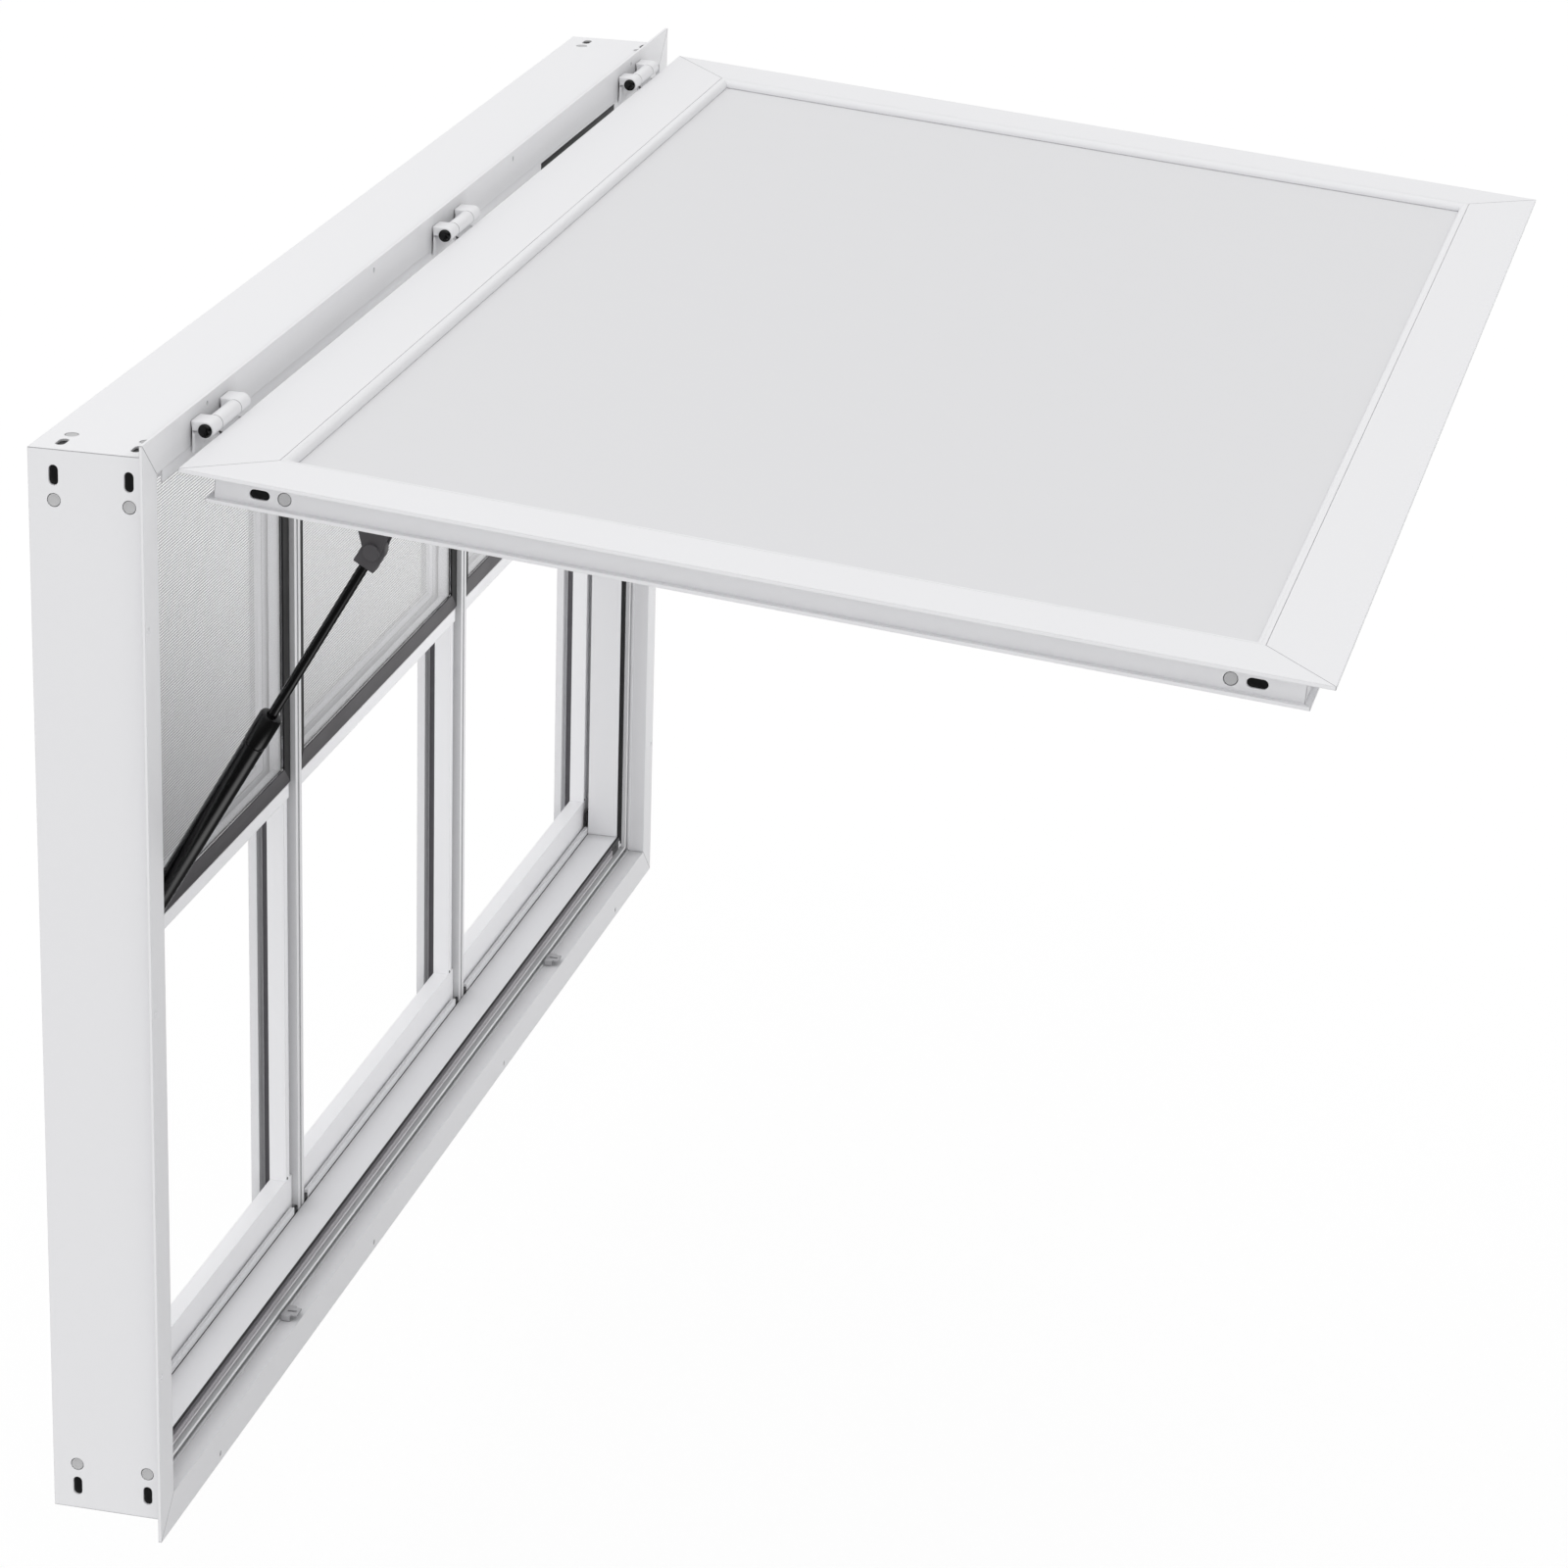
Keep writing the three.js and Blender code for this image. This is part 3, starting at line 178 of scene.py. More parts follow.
def rounded(outline, radius, steps=4):
    """A closed outline with its corners rounded. Each corner p with unit directions a and b to its
    neighbours becomes p + a r (1 - t)^2 + b r t^2 for t from 0 to 1, with r the longest round at most."""
    p = np.asarray(outline, float)
    a, b = np.roll(p, 1, 0) - p, np.roll(p, -1, 0) - p
    la, lb = np.linalg.norm(a, axis=1), np.linalg.norm(b, axis=1)
    a, b = a / la[:, None], b / lb[:, None]
    half = np.arccos(np.clip((a * b).sum(1), -1, 1)) / 2
    reach = np.minimum(radius / np.maximum(np.tan(half), SLIGHTEST_BEND), LONGEST_ROUND * np.minimum(la, lb))
    t = np.linspace(0, 1, steps + 1)[:, None]
    curve = p[:, None] + (a * reach[:, None])[:, None] * (1 - t) ** 2 + (b * reach[:, None])[:, None] * t**2
    return curve.reshape(-1, 2)


def arc(centre, radius, start, end, steps=16):
    """Points centre + radius (cos t, sin t) with t from start to end degrees."""
    t = np.radians(np.linspace(start, end, steps + 1))
    return np.asarray(centre) + radius * np.stack([np.cos(t), np.sin(t)], 1)


def grown(outline, amount):
    """An outline moved outwards by amount along the mean normal of the two edges at each point."""
    p = np.asarray(outline, float)
    area = np.sum(p[:, 0] * np.roll(p[:, 1], -1) - np.roll(p[:, 0], -1) * p[:, 1])
    along = np.roll(p, -1, 0) - p
    along /= np.linalg.norm(along, axis=1)[:, None]
    normal = np.stack([along[:, 1], -along[:, 0]], 1) * np.sign(area)
    mean = normal + np.roll(normal, 1, 0)
    mean /= np.maximum((mean * normal).sum(1), WIDEST_MITRE)[:, None]
    return p + mean * amount


def tube(rings, closed=False):
    """Quads between neighbouring rings of points, capped at both ends unless the path is closed."""
    count, around = rings.shape[:2]
    i = np.arange(count if closed else count - 1)[:, None] * around
    j = np.arange(around)[None]
    after = (i + around) % (count * around)
    side = (j + 1) % around
    quads = np.stack([i + j, i + side, after + side, after + j], -1).reshape(-1, 4).tolist()
    if not closed:
        quads += [list(range(around))[::-1], list(range((count - 1) * around, count * around))]
    return rings.reshape(-1, 3), quads


def slab(outline, low, high, origin, u, v, w, edge):
    """An outline in the plane of u and v carried along w from low to high. Near each end the outline
    shrinks by edge (1 - sin t) while the depth grows by edge (1 - cos t), a quarter round."""
    t = np.linspace(0, np.pi / 2, QUARTER_STEPS + 1)
    shrink, depth = edge * (1 - np.sin(t)), edge * (1 - np.cos(t))
    steps = [(s, low + d) for s, d in zip(shrink, depth)]
    steps += [(s, high - d) for s, d in zip(shrink[::-1], depth[::-1])]
    rings = [
        np.asarray(origin) + flat[:, :1] * u + flat[:, 1:] * v + d * np.asarray(w)
        for flat, d in ((grown(outline, -s), d) for s, d in steps)
    ]
    return tube(np.array(rings))


def turned(profile, origin, axis, segments=40):
    """A profile of (radius, height) turned round axis: origin + height axis + radius (cos t u + sin t v)."""
    axis = np.asarray(axis, float)
    u = np.cross(axis, EX if abs(axis[0]) < 0.9 else EY)
    u /= np.linalg.norm(u)
    v = np.cross(axis, u)
    t = np.linspace(0, 2 * np.pi, segments, endpoint=False)
    spoke = np.cos(t)[:, None] * u + np.sin(t)[:, None] * v
    radius, height = np.asarray(profile, float).T
    rings = np.asarray(origin) + height[None, :, None] * axis + radius[None, :, None] * spoke[:, None]
    return tube(rings, closed=True)


def mitred_run(profile, xs, zs, face, order, closed=False):
    """A profile of (inset, depth) carried along the rectangle xs by zs from corner to corner, mitred
    on the diagonals: the inset is measured in from the rectangle and the depth back from face.
    Corners 0 to 3 run from the lower left one to the right, up, and back to the left."""
    inset, depth = np.asarray(profile, float).T
    corners = []
    for corner in order:
        x_end, z_end = int(corner in (1, 2)), int(corner >= 2)
        x = xs[x_end] + inset * (1 - 2 * x_end)
        z = zs[z_end] + inset * (1 - 2 * z_end)
        corners.append(np.stack([x, face + depth, z], 1))
    return tube(np.array(corners), closed=closed)


def mitred_ring(profile, xs, zs, face):
    """The same profile all the way round."""
    return mitred_run(profile, xs, zs, face, (0, 1, 2, 3), closed=True)


def block(low, high, edge):
    """A box with rounded edges: its rounded front outline carried along Y as a slab."""
    (x0, y0, z0), (x1, y1, z1) = low, high
    outline = rounded([(x0, z0), (x1, z0), (x1, z1), (x0, z1)], edge)
    return slab(outline, y0, y1, np.zeros(3), EX, EZ, EY, edge)


def bars(lows, highs):
    """Many plain boxes at once: each low and high corner picks one of a box's eight corners."""
    pick = np.array([[0, 0, 0], [1, 0, 0], [1, 1, 0], [0, 1, 0], [0, 0, 1], [1, 0, 1], [1, 1, 1], [0, 1, 1]])
    sides = np.array([[0, 3, 2, 1], [4, 5, 6, 7], [0, 1, 5, 4], [1, 2, 6, 5], [2, 3, 7, 6], [3, 0, 4, 7]])
    corners = np.where(pick[None], highs[:, None], lows[:, None])
    quads = sides[None] + 8 * np.arange(len(lows))[:, None, None]
    return corners.reshape(-1, 3), quads.reshape(-1, 4).tolist()


def moved(shell, place):
    points, faces = shell
    return place(points), faces


def swing(points):
    """Points of the closed hatch, given from its hinge line, turned open about X by the hinge's range."""
    c, s = math.cos(OPEN_ANGLE), -math.sin(OPEN_ANGLE)
    x, y, z = np.asarray(points, float).T
    return np.stack([x, y * c - z * s, y * s + z * c], 1) + HINGE


def build(name, shells, body, finish, replaces=(), sharp=SHARP):
    """Makes one mesh object from shells of (points, faces), in place, and rides it on its body."""
    offset, points, faces = 0, [], []
    for shell_points, shell_faces in shells:
        points.append(shell_points)
        faces += [[offset + i for i in f] for f in shell_faces]
        offset += len(shell_points)
    mesh = bpy.data.meshes.new(name)
    mesh.from_pydata(np.concatenate(points).tolist(), [], faces)
    work = bmesh.new()
    work.from_mesh(mesh)
    bmesh.ops.remove_doubles(work, verts=work.verts, dist=WELD)
    bmesh.ops.recalc_face_normals(work, faces=work.faces)
    work.to_mesh(mesh)
    work.free()
    mesh.shade_smooth()
    mesh.set_sharp_from_angle(angle=math.radians(sharp))
    piece = bpy.data.objects.new(name, mesh)
    bpy.context.scene.collection.objects.link(piece)
    mesh.materials.append(material(finish))
    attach(piece, body)
    if replaces:
        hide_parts(*replaces)


# --- Finishes ---


def add(tree, kind, links=None, **settings):
    """Adds a node, sets its properties or input values by name, and links its inputs."""
    node = tree.nodes.new(kind)
    for key, value in settings.items():
        if key in node.bl_rna.properties:
            setattr(node, key, value)
        else:
            node.inputs[key.replace("_", " ")].default_value = value
    for key, source in (links or {}).items():
        tree.links.new(node.inputs[key], source)
    return node


def new_tree(owner):
    """The node tree of a material or world, emptied."""
    owner.use_nodes = True
    owner.node_tree.nodes.clear()
    return owner.node_tree


NODE_SAMPLES = 6  # rays of the Bevel and Ambient Occlusion nodes
DEEP_CORNER = 0.35  # share of open space at which a corner counts as deepest
MOTTLE_SIZE = 40 * MM


def surface(name, base, roughness, metallic=0.0, bump=None, edges=False, mottle=0.0, dust=None, **more):
    """A Principled material. bump is (grain in mm, depth in mm), edges rounds its edges in the light,
    and mottle is how far the roughness drifts, as on any sprayed surface. dust is (reach in mm,
    share of the colour left in the deepest corner): painted shade that darkens the colour towards corners."""
    made = bpy.data.materials.new(name)
    tree = new_tree(made)
    shader = add(tree, "ShaderNodeBsdfPrincipled", Roughness=roughness, Metallic=metallic, **more)
    shader.inputs["Base Color"].default_value = (*base, 1)
    place = add(tree, "ShaderNodeTexCoord").outputs["Object"]
    # Painted shade: an Ambient Occlusion node darkens the base colour towards corners and creases.
    if dust:
        reach, left = dust
        corner = add(tree, "ShaderNodeAmbientOcclusion", samples=NODE_SAMPLES, Distance=reach * MM)
        unshaded_share = add(
            tree, "ShaderNodeMapRange", {"Value": corner.outputs["AO"]}, From_Min=DEEP_CORNER, To_Min=left
        )
        tint = add(tree, "ShaderNodeVectorMath", {"Scale": unshaded_share.outputs["Result"]}, operation="SCALE")
        tint.inputs[0].default_value = base
        tree.links.new(shader.inputs["Base Color"], tint.outputs["Vector"])
    if mottle:
        drift = add(tree, "ShaderNodeTexNoise", {"Vector": place}, Scale=1 / MOTTLE_SIZE, Detail=3)
        ends = {"To_Min": roughness - mottle, "To_Max": roughness + mottle}
        spread = add(tree, "ShaderNodeMapRange", {"Value": drift.outputs["Fac"]}, **ends)
        tree.links.new(shader.inputs["Roughness"], spread.outputs["Result"])
    normal = None
    if edges:
        radius = bpy.context.scene.serving_window_sizes.edge
        normal = add(tree, "ShaderNodeBevel", samples=NODE_SAMPLES, Radius=radius).outputs["Normal"]
    if bump:
        grain = add(tree, "ShaderNodeTexNoise", {"Vector": place}, Scale=1 / (bump[0] * MM), Detail=2)
        links = {"Height": grain.outputs["Fac"]} | ({"Normal": normal} if normal else {})
        normal = add(tree, "ShaderNodeBump", links, Strength=1, Distance=bump[1] * MM).outputs["Normal"]
    if normal:
        tree.links.new(shader.inputs["Normal"], normal)
    add(tree, "ShaderNodeOutputMaterial", {"Surface": shader.outputs["BSDF"]})
    return made


def float_glass(name, tint, roughness):
    """Clear soda-lime float glass, IOR 1.52: sharp mirror images at a low angle and a faint grey
    body. Lamp light passes straight through its tint, which leaves what stands behind it lit."""
    made = bpy.data.materials.new(name)
    tree = new_tree(made)
    glass = add(tree, "ShaderNodeBsdfPrincipled", Roughness=roughness, IOR=1.52, Transmission_Weight=1.0)
    glass.inputs["Base Color"].default_value = (*tint, 1)
    clear = add(tree, "ShaderNodeBsdfTransparent", Color=(*tint, 1))
    path = add(tree, "ShaderNodeLightPath")
    either = {0: path.outputs["Is Shadow Ray"], 1: path.outputs["Is Diffuse Ray"]}
    lit = add(tree, "ShaderNodeMath", either, operation="MAXIMUM")
    both = add(tree, "ShaderNodeMixShader", {0: lit.outputs[0], 1: glass.outputs[0], 2: clear.outputs[0]})
    add(tree, "ShaderNodeOutputMaterial", {"Surface": both.outputs[0]})
    return made


COAT = {"bump": (2.2, 0.012), "edges": True, "mottle": 0.03}
# Each finish: its material slot, its colour's name, its roughness and more settings of surface().
FINISHES = {
    # Polyester powder baked on extruded aluminium: an even white with a soft sheen, a faint orange
    # peel, and bright lines where the paint rolls over an edge.
    "powder_coat": ("white_powder_coat", "coat", 0.42, COAT),
    # The same coat on the head, sill and mullions, with painted shade that darkens it towards the corners.
    "corner_shaded_coat": ("white_powder_coat", "coat", 0.42, COAT | {"dust": (20, 0.62)}),
    # The bays' coat: the same paint, a shade whiter than the outer frame's, as painted light that lifts the bays
    # in the shade under the hatch.
    "lit_sash_coat": ("white_powder_coat", "sash", 0.42, COAT),
    # The same coat on the fine lip, painted pure white as a painted highlight along its edge, with less roughness.
    "lip_highlight_coat": ("white_powder_coat", "rubbed", 0.22, {"mottle": 0.02}),
    # The shaded crack between two mitred bars: matt grey.
    "joint_line": ("white_powder_coat", "seam", 0.9, {"mottle": 0.02}),
    # Coil-coated aluminium sheet: flatter and a shade greyer than the powder coat.
    "painted_sheet": ("white_panel", "panel", 0.4, {"bump": (6, 0.01), "mottle": 0.04}),
    # Extruded EPDM: near black, dull, with a dusty bloom that lifts it to grey in the light. The same black is
    # painted shade in the ledge's front line, the strip under the head and the gaps before the stops.
    "black_rubber_and_shade": ("rubber_black", "rubber", 0.62, {"bump": (0.6, 0.01), "mottle": 0.08}),
    # The EPDM seal painted grey on the sill, a lit copy of the jambs' black seal for the light its face catches.
    "seal_rubber": ("rubber_black", "seal", 0.5, {"bump": (0.6, 0.008), "mottle": 0.06}),
    # Dark grey rubber, a shade lighter and purpler than the seal, with a soft sheen: a painted reflection on the
    # level glazing bands, whose sides are black, and painted shade in the riser's groove strip and on the jambs'
    # lower strip.
    "reflection_and_shade_rubber": ("rubber_black", "band", 0.45, {"bump": (0.8, 0.006), "mottle": 0.05}),
    # Grey rubber of the ribbed strips on the sill and head with a faint skin sheen, painted lighter than the
    # jambs' black copies for the light the ribs catch.
    "lit_rib_rubber": ("rubber_black", "ribs", 0.5, {"bump": (0.8, 0.008), "mottle": 0.05}),
    # Moulded black plastic, a little glossy, on the sill's end blocks; the same black is painted shade on the pads
    # at the mullions and stops and behind the slots.
    "black_block_and_shade": ("rubber_black", "block", 0.35, {"bump": (1.0, 0.004), "edges": True}),
    # Polypropylene pile: grey, without any shine.
    "pile_brush": ("rubber_black", "pile", 0.9, {"bump": (0.5, 0.15)}),
    # Vinyl-coated glass fibre thread, matt grey.
    "screen_thread": ("grey_mesh", "thread", 0.6, {}),
    # Moulded grey polythene: waxy, slightly darker than the coat round it.
    "polythene_plug": ("grey_mesh", "plug", 0.5, {"bump": (1.5, 0.006)}),
    # Black lacquer on drawn steel tube: a narrow soft highlight along its length.
    "satin_lacquer": ("satin_black", "lacquer", 0.24, {"mottle": 0.02}),
    # Pressed steel with a phosphate coat: dark grey and matt.
    "phosphated_steel": ("dark_steel", "bracket", 0.55, {"bump": (0.8, 0.01), "edges": True, "mottle": 0.06}),
    # Moulded black nylon, polished: a small sharp highlight on the dome.
    "nylon_cap": ("gloss_black", "cap", 0.1, {"Specular_IOR_Level": 0.35}),
    # Tumbled zinc casting: soft grey metal with a fine grain.
    "die_cast_zinc": (
        "grey_zinc",
        "zinc",
        0.45,
        {"metallic": 0.5, "bump": (0.7, 0.012), "edges": True, "mottle": 0.06},
    ),
    # Clear float glass with fire-polished faces: no roughness at all. float_glass() makes it.
    "float_glass": ("clear_glass", "glass", 0.0, {}),
}
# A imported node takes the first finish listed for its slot, except these.
NODE_FINISH = dict.fromkeys(("head", "sill", "mullion_left", "mullion_right"), "corner_shaded_coat")
NODE_FINISH |= {f"{part}_{bay}": "lit_sash_coat" for part in ("bay_frame", "mid_rail") for bay in BAYS}
NODE_FINISH |= {f"sill_block_{name}": "black_block_and_shade" for name, _ in SIDES}


def material(name):
    """The finish of that name, made when it is first asked for."""
    if name in bpy.data.materials:
        return bpy.data.materials[name]
    _, colour_name, roughness, settings = FINISHES[name]
    base = getattr(bpy.context.scene.serving_window_colours, colour_name)
    make = float_glass if name == "float_glass" else surface
    return make(name, base, roughness, **settings)


def report_done(operator, count, what):
    operator.report({"INFO"}, f"{count} {what}")
    return {"FINISHED"}


class SERVINGWINDOW_OT_finishes(Operator):
    """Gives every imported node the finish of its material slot"""

    bl_idname = "serving_window.finishes"
    bl_label = "Coat and glaze"

    def execute(self, context):
        for node, piece in frame["nodes"].items():
            of_slot = next(name for name, row in FINISHES.items() if row[0] == SLOT_OF[node])
            finish = material(NODE_FINISH.get(node, of_slot))
            for place in piece.material_slots:
                place.material = finish
        return report_done(self, len(frame["nodes"]), "nodes finished")


# --- Seals, strips and bead ---


class SERVINGWINDOW_OT_seals(Operator):
    """Makes the riser's weather seals and strips, the head's lip, the glazing bands and the hatch's bead"""

    bl_idname = "serving_window.seals"
    bl_label = "Seals and bead"

    # The strips on the riser: inset from and to, depth from and to in millimetres, and their finish
    # along the sill and head and up the jambs. The finishes paint light and shade: lighter strips where the ribs
    # catch light, dark copies on the jambs, a dark grey strip for the groove's shade and a white lip as a painted
    # highlight.
    ribs = (
        ("upper", 43.45, 47.15, 21.1, 22.9, "lit_rib_rubber", "black_rubber_and_shade"),
        ("middle", 41.3, 43.05, 21.1, 23, "lit_rib_rubber", "black_rubber_and_shade"),
        ("groove", 39.6, 41.1, 21.5, 23, "reflection_and_shade_rubber", "black_rubber_and_shade"),
        ("lower", 35.3, 39.4, 24.6, 25.3, "powder_coat", "reflection_and_shade_rubber"),
        ("lip", 33.35, 35.15, 18.4, 20, "lip_highlight_coat", "lip_highlight_coat"),
    )
    rib_round = 0.5 * MM
    # The sill's end blocks: the inset of their lower edge, and where the strips stop before them.
    block_foot, clear_of_block = 39.5 * MM, 77.5 * MM
    # Outlines of (inset, depth) in millimetres: the seal, a tongue under a low dome with two ridges;
    # the black strip at the sill's inner ledge's front edge, a painted shadow line; and the band that wraps the
    # edge of the glass.
    seal_under = ((47.4, 25.8), (50.6, 25.8), (50.6, 23.0), (52.8, 23.0), (52.8, 22.0))
    seal_dome = ((51.6, 21.45), (50.4, 21.9), (49.4, 21.45), (48.2, 21.5), (47.4, 22.3))
    seal_round, nose_round = 0.6, 0.2 * MM  # the first is a share of the other seals' round
    nose = ((52.2, 21.2), (53.0, 21.2), (53.0, 23.4), (52.2, 23.4))
    band_front = ((0, 0), (16, 0), (16, 1.4), (15, 1.4), (15, 5.7))
    band_back = ((16, 5.7), (16, 6.9), (14.3, 6.9), (14.3, 1.5), (0, 1.5))
    # The lip under the head's flange: inset from and to with the black strip's upper edge between, depth from
    # and to, its ends, and where its black strip, a painted shadow, starts and ends in hinge spacings from the
    # right hinge.
    lip_insets, lip_depths = (29.8, 33.4, 40.2), (0.4, 1.8)
    lip_ends, lip_round = 43 * MM, 0.2 * MM
    shadow_span = (-0.51, -0.09)
    # The bead's land, the width and depth of its curve, and its outline's back.
    bead_land, bead_wide, bead_deep = 60.8, 6.2, 6.1
    bead_start, bead_end = ((59.3, 7.1), (59.3, 0.15), (59.45, 0)), ((67, 7.1),)

    def execute(self, context):
        edge = context.scene.serving_window_sizes.seal_edge
        self.weather_seals(edge)
        self.head_lip()
        for bay in BAYS:
            self.glazing_bands(bay, edge)
        self.panel_bead()
        self.riser_ribs()
        return report_done(self, 3 + len(BAYS), "seals made")

    def riser_ribs(self):
        """Straight strips along all four sides, each cut square at its own inset; the ones as high as
        the sill's end blocks stop short of them."""
        for name, near, far, front, back, level_finish, upright_finish in self.ribs:
            near, far = near * MM, far * MM
            y0, y1 = FACE_Y + front * MM, FACE_Y + back * MM
            level, upright = [], []
            for end, way in ENDS:
                z0, z1 = sorted((FRAME_Z[end] + way * near, FRAME_Z[end] + way * far))
                stop = self.clear_of_block if near > self.block_foot and end == 0 else near
                level.append(block((FRAME_X[0] + stop, y0, z0), (FRAME_X[1] - stop, y1, z1), self.rib_round))
                x0, x1 = sorted((FRAME_X[end] + way * near, FRAME_X[end] + way * far))
                low, high = (x0, y0, FRAME_Z[0] + near), (x1, y1, FRAME_Z[1] - near)
                upright.append(block(low, high, self.rib_round))
            # Painted light and shade: the level and upright copies of a strip take different finishes.
            build(f"riser_{name}_level", level, "frame", level_finish)
            build(f"riser_{name}_upright", upright, "frame", upright_finish)

    def weather_seals(self, edge):
        """The seal's outline along each side: grey on the sill, black on the jambs, white on the head; the sill's
        grey is painted light.
        The ledge's front edge gets a black strip along the sill, a painted shadow line."""
        profile = rounded(np.array(self.seal_under + self.seal_dome) * MM, edge * self.seal_round)
        sill, right, head, left = (
            mitred_run(profile, FRAME_X, FRAME_Z, FACE_Y, (corner, (corner + 1) % 4)) for corner in range(4)
        )
        build("weather_seal", [sill], "frame", "seal_rubber", ["weather_gasket"])
        build("jamb_seals", [right, left], "frame", "black_rubber_and_shade")
        build("head_seal", [head], "frame", "powder_coat")
        nose = rounded(np.array(self.nose) * MM, self.nose_round)
        line = mitred_run(nose, FRAME_X, FRAME_Z, FACE_Y, (0, 1))
        build("ledge_shadow_line", [line], "frame", "black_rubber_and_shade")

    def head_lip(self):
        """A thin strip under the head's flange, and a black strip over a length of it: painted shadow for the dark
        gap between the flange and the hatch.
        """
        spacing = HINGE_X["right"] - HINGE_X["centre"]
        shadow_ends = [HINGE_X["right"] + part * spacing for part in self.shadow_span]
        ends = (FRAME_X[0] + self.lip_ends, FRAME_X[1] - self.lip_ends)
        top, over, under = (FRAME_Z[1] - inset * MM for inset in self.lip_insets)
        y0, y1 = (FACE_Y + depth * MM for depth in self.lip_depths)
        spans = ((ends[0], shadow_ends[0], under), (*shadow_ends, over), (shadow_ends[1], ends[1], under))
        white = [block((x0, y0, low), (x1, y1, top), self.lip_round) for x0, x1, low in spans]
        black = block((shadow_ends[0], y0, under), (shadow_ends[1], y1, over), self.lip_round)
        build("head_lip", white, "frame", "powder_coat")
        build("head_shadow_strip", [black], "frame", "black_rubber_and_shade")

    def glazing_bands(self, bay, edge):
        """A flat band on the sash face that wraps the edge of the glass: dark grey along the bottom
        and top, black up the sides; the dark grey is a painted reflection on the black rubber."""
        low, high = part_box(f"glazing_gasket_{bay}")
        profile = rounded(np.array(self.band_front + self.band_back) * MM, edge)
        level, upright = (
            [mitred_run(profile, (low.x, high.x), (low.z, high.z), low.y, corners) for corners in pair]
            for pair in (((0, 1), (2, 3)), ((1, 2), (3, 0)))
        )
        build(f"glazing_seal_{bay}", level, "frame", "reflection_and_shade_rubber", [f"glazing_gasket_{bay}"])
        build(f"glazing_sides_{bay}", upright, "frame", "black_rubber_and_shade")

    def panel_bead(self):
        """A flat land beside the rails, then a quarter ellipse down to the panel."""
        t = np.linspace(0, np.pi / 2, 13)
        fall = np.stack([self.bead_land + self.bead_wide * np.sin(t), self.bead_deep * (1 - np.cos(t))], 1)
        outline = np.concatenate([self.bead_start, fall, self.bead_end]) * MM
        ring = moved(mitred_ring(outline, HATCH_X, HATCH_Z, PLATE_IN), swing)
        build("panel_bead", [ring], "hatch", "powder_coat", ["hatch_bead"])


# --- Hinges ---


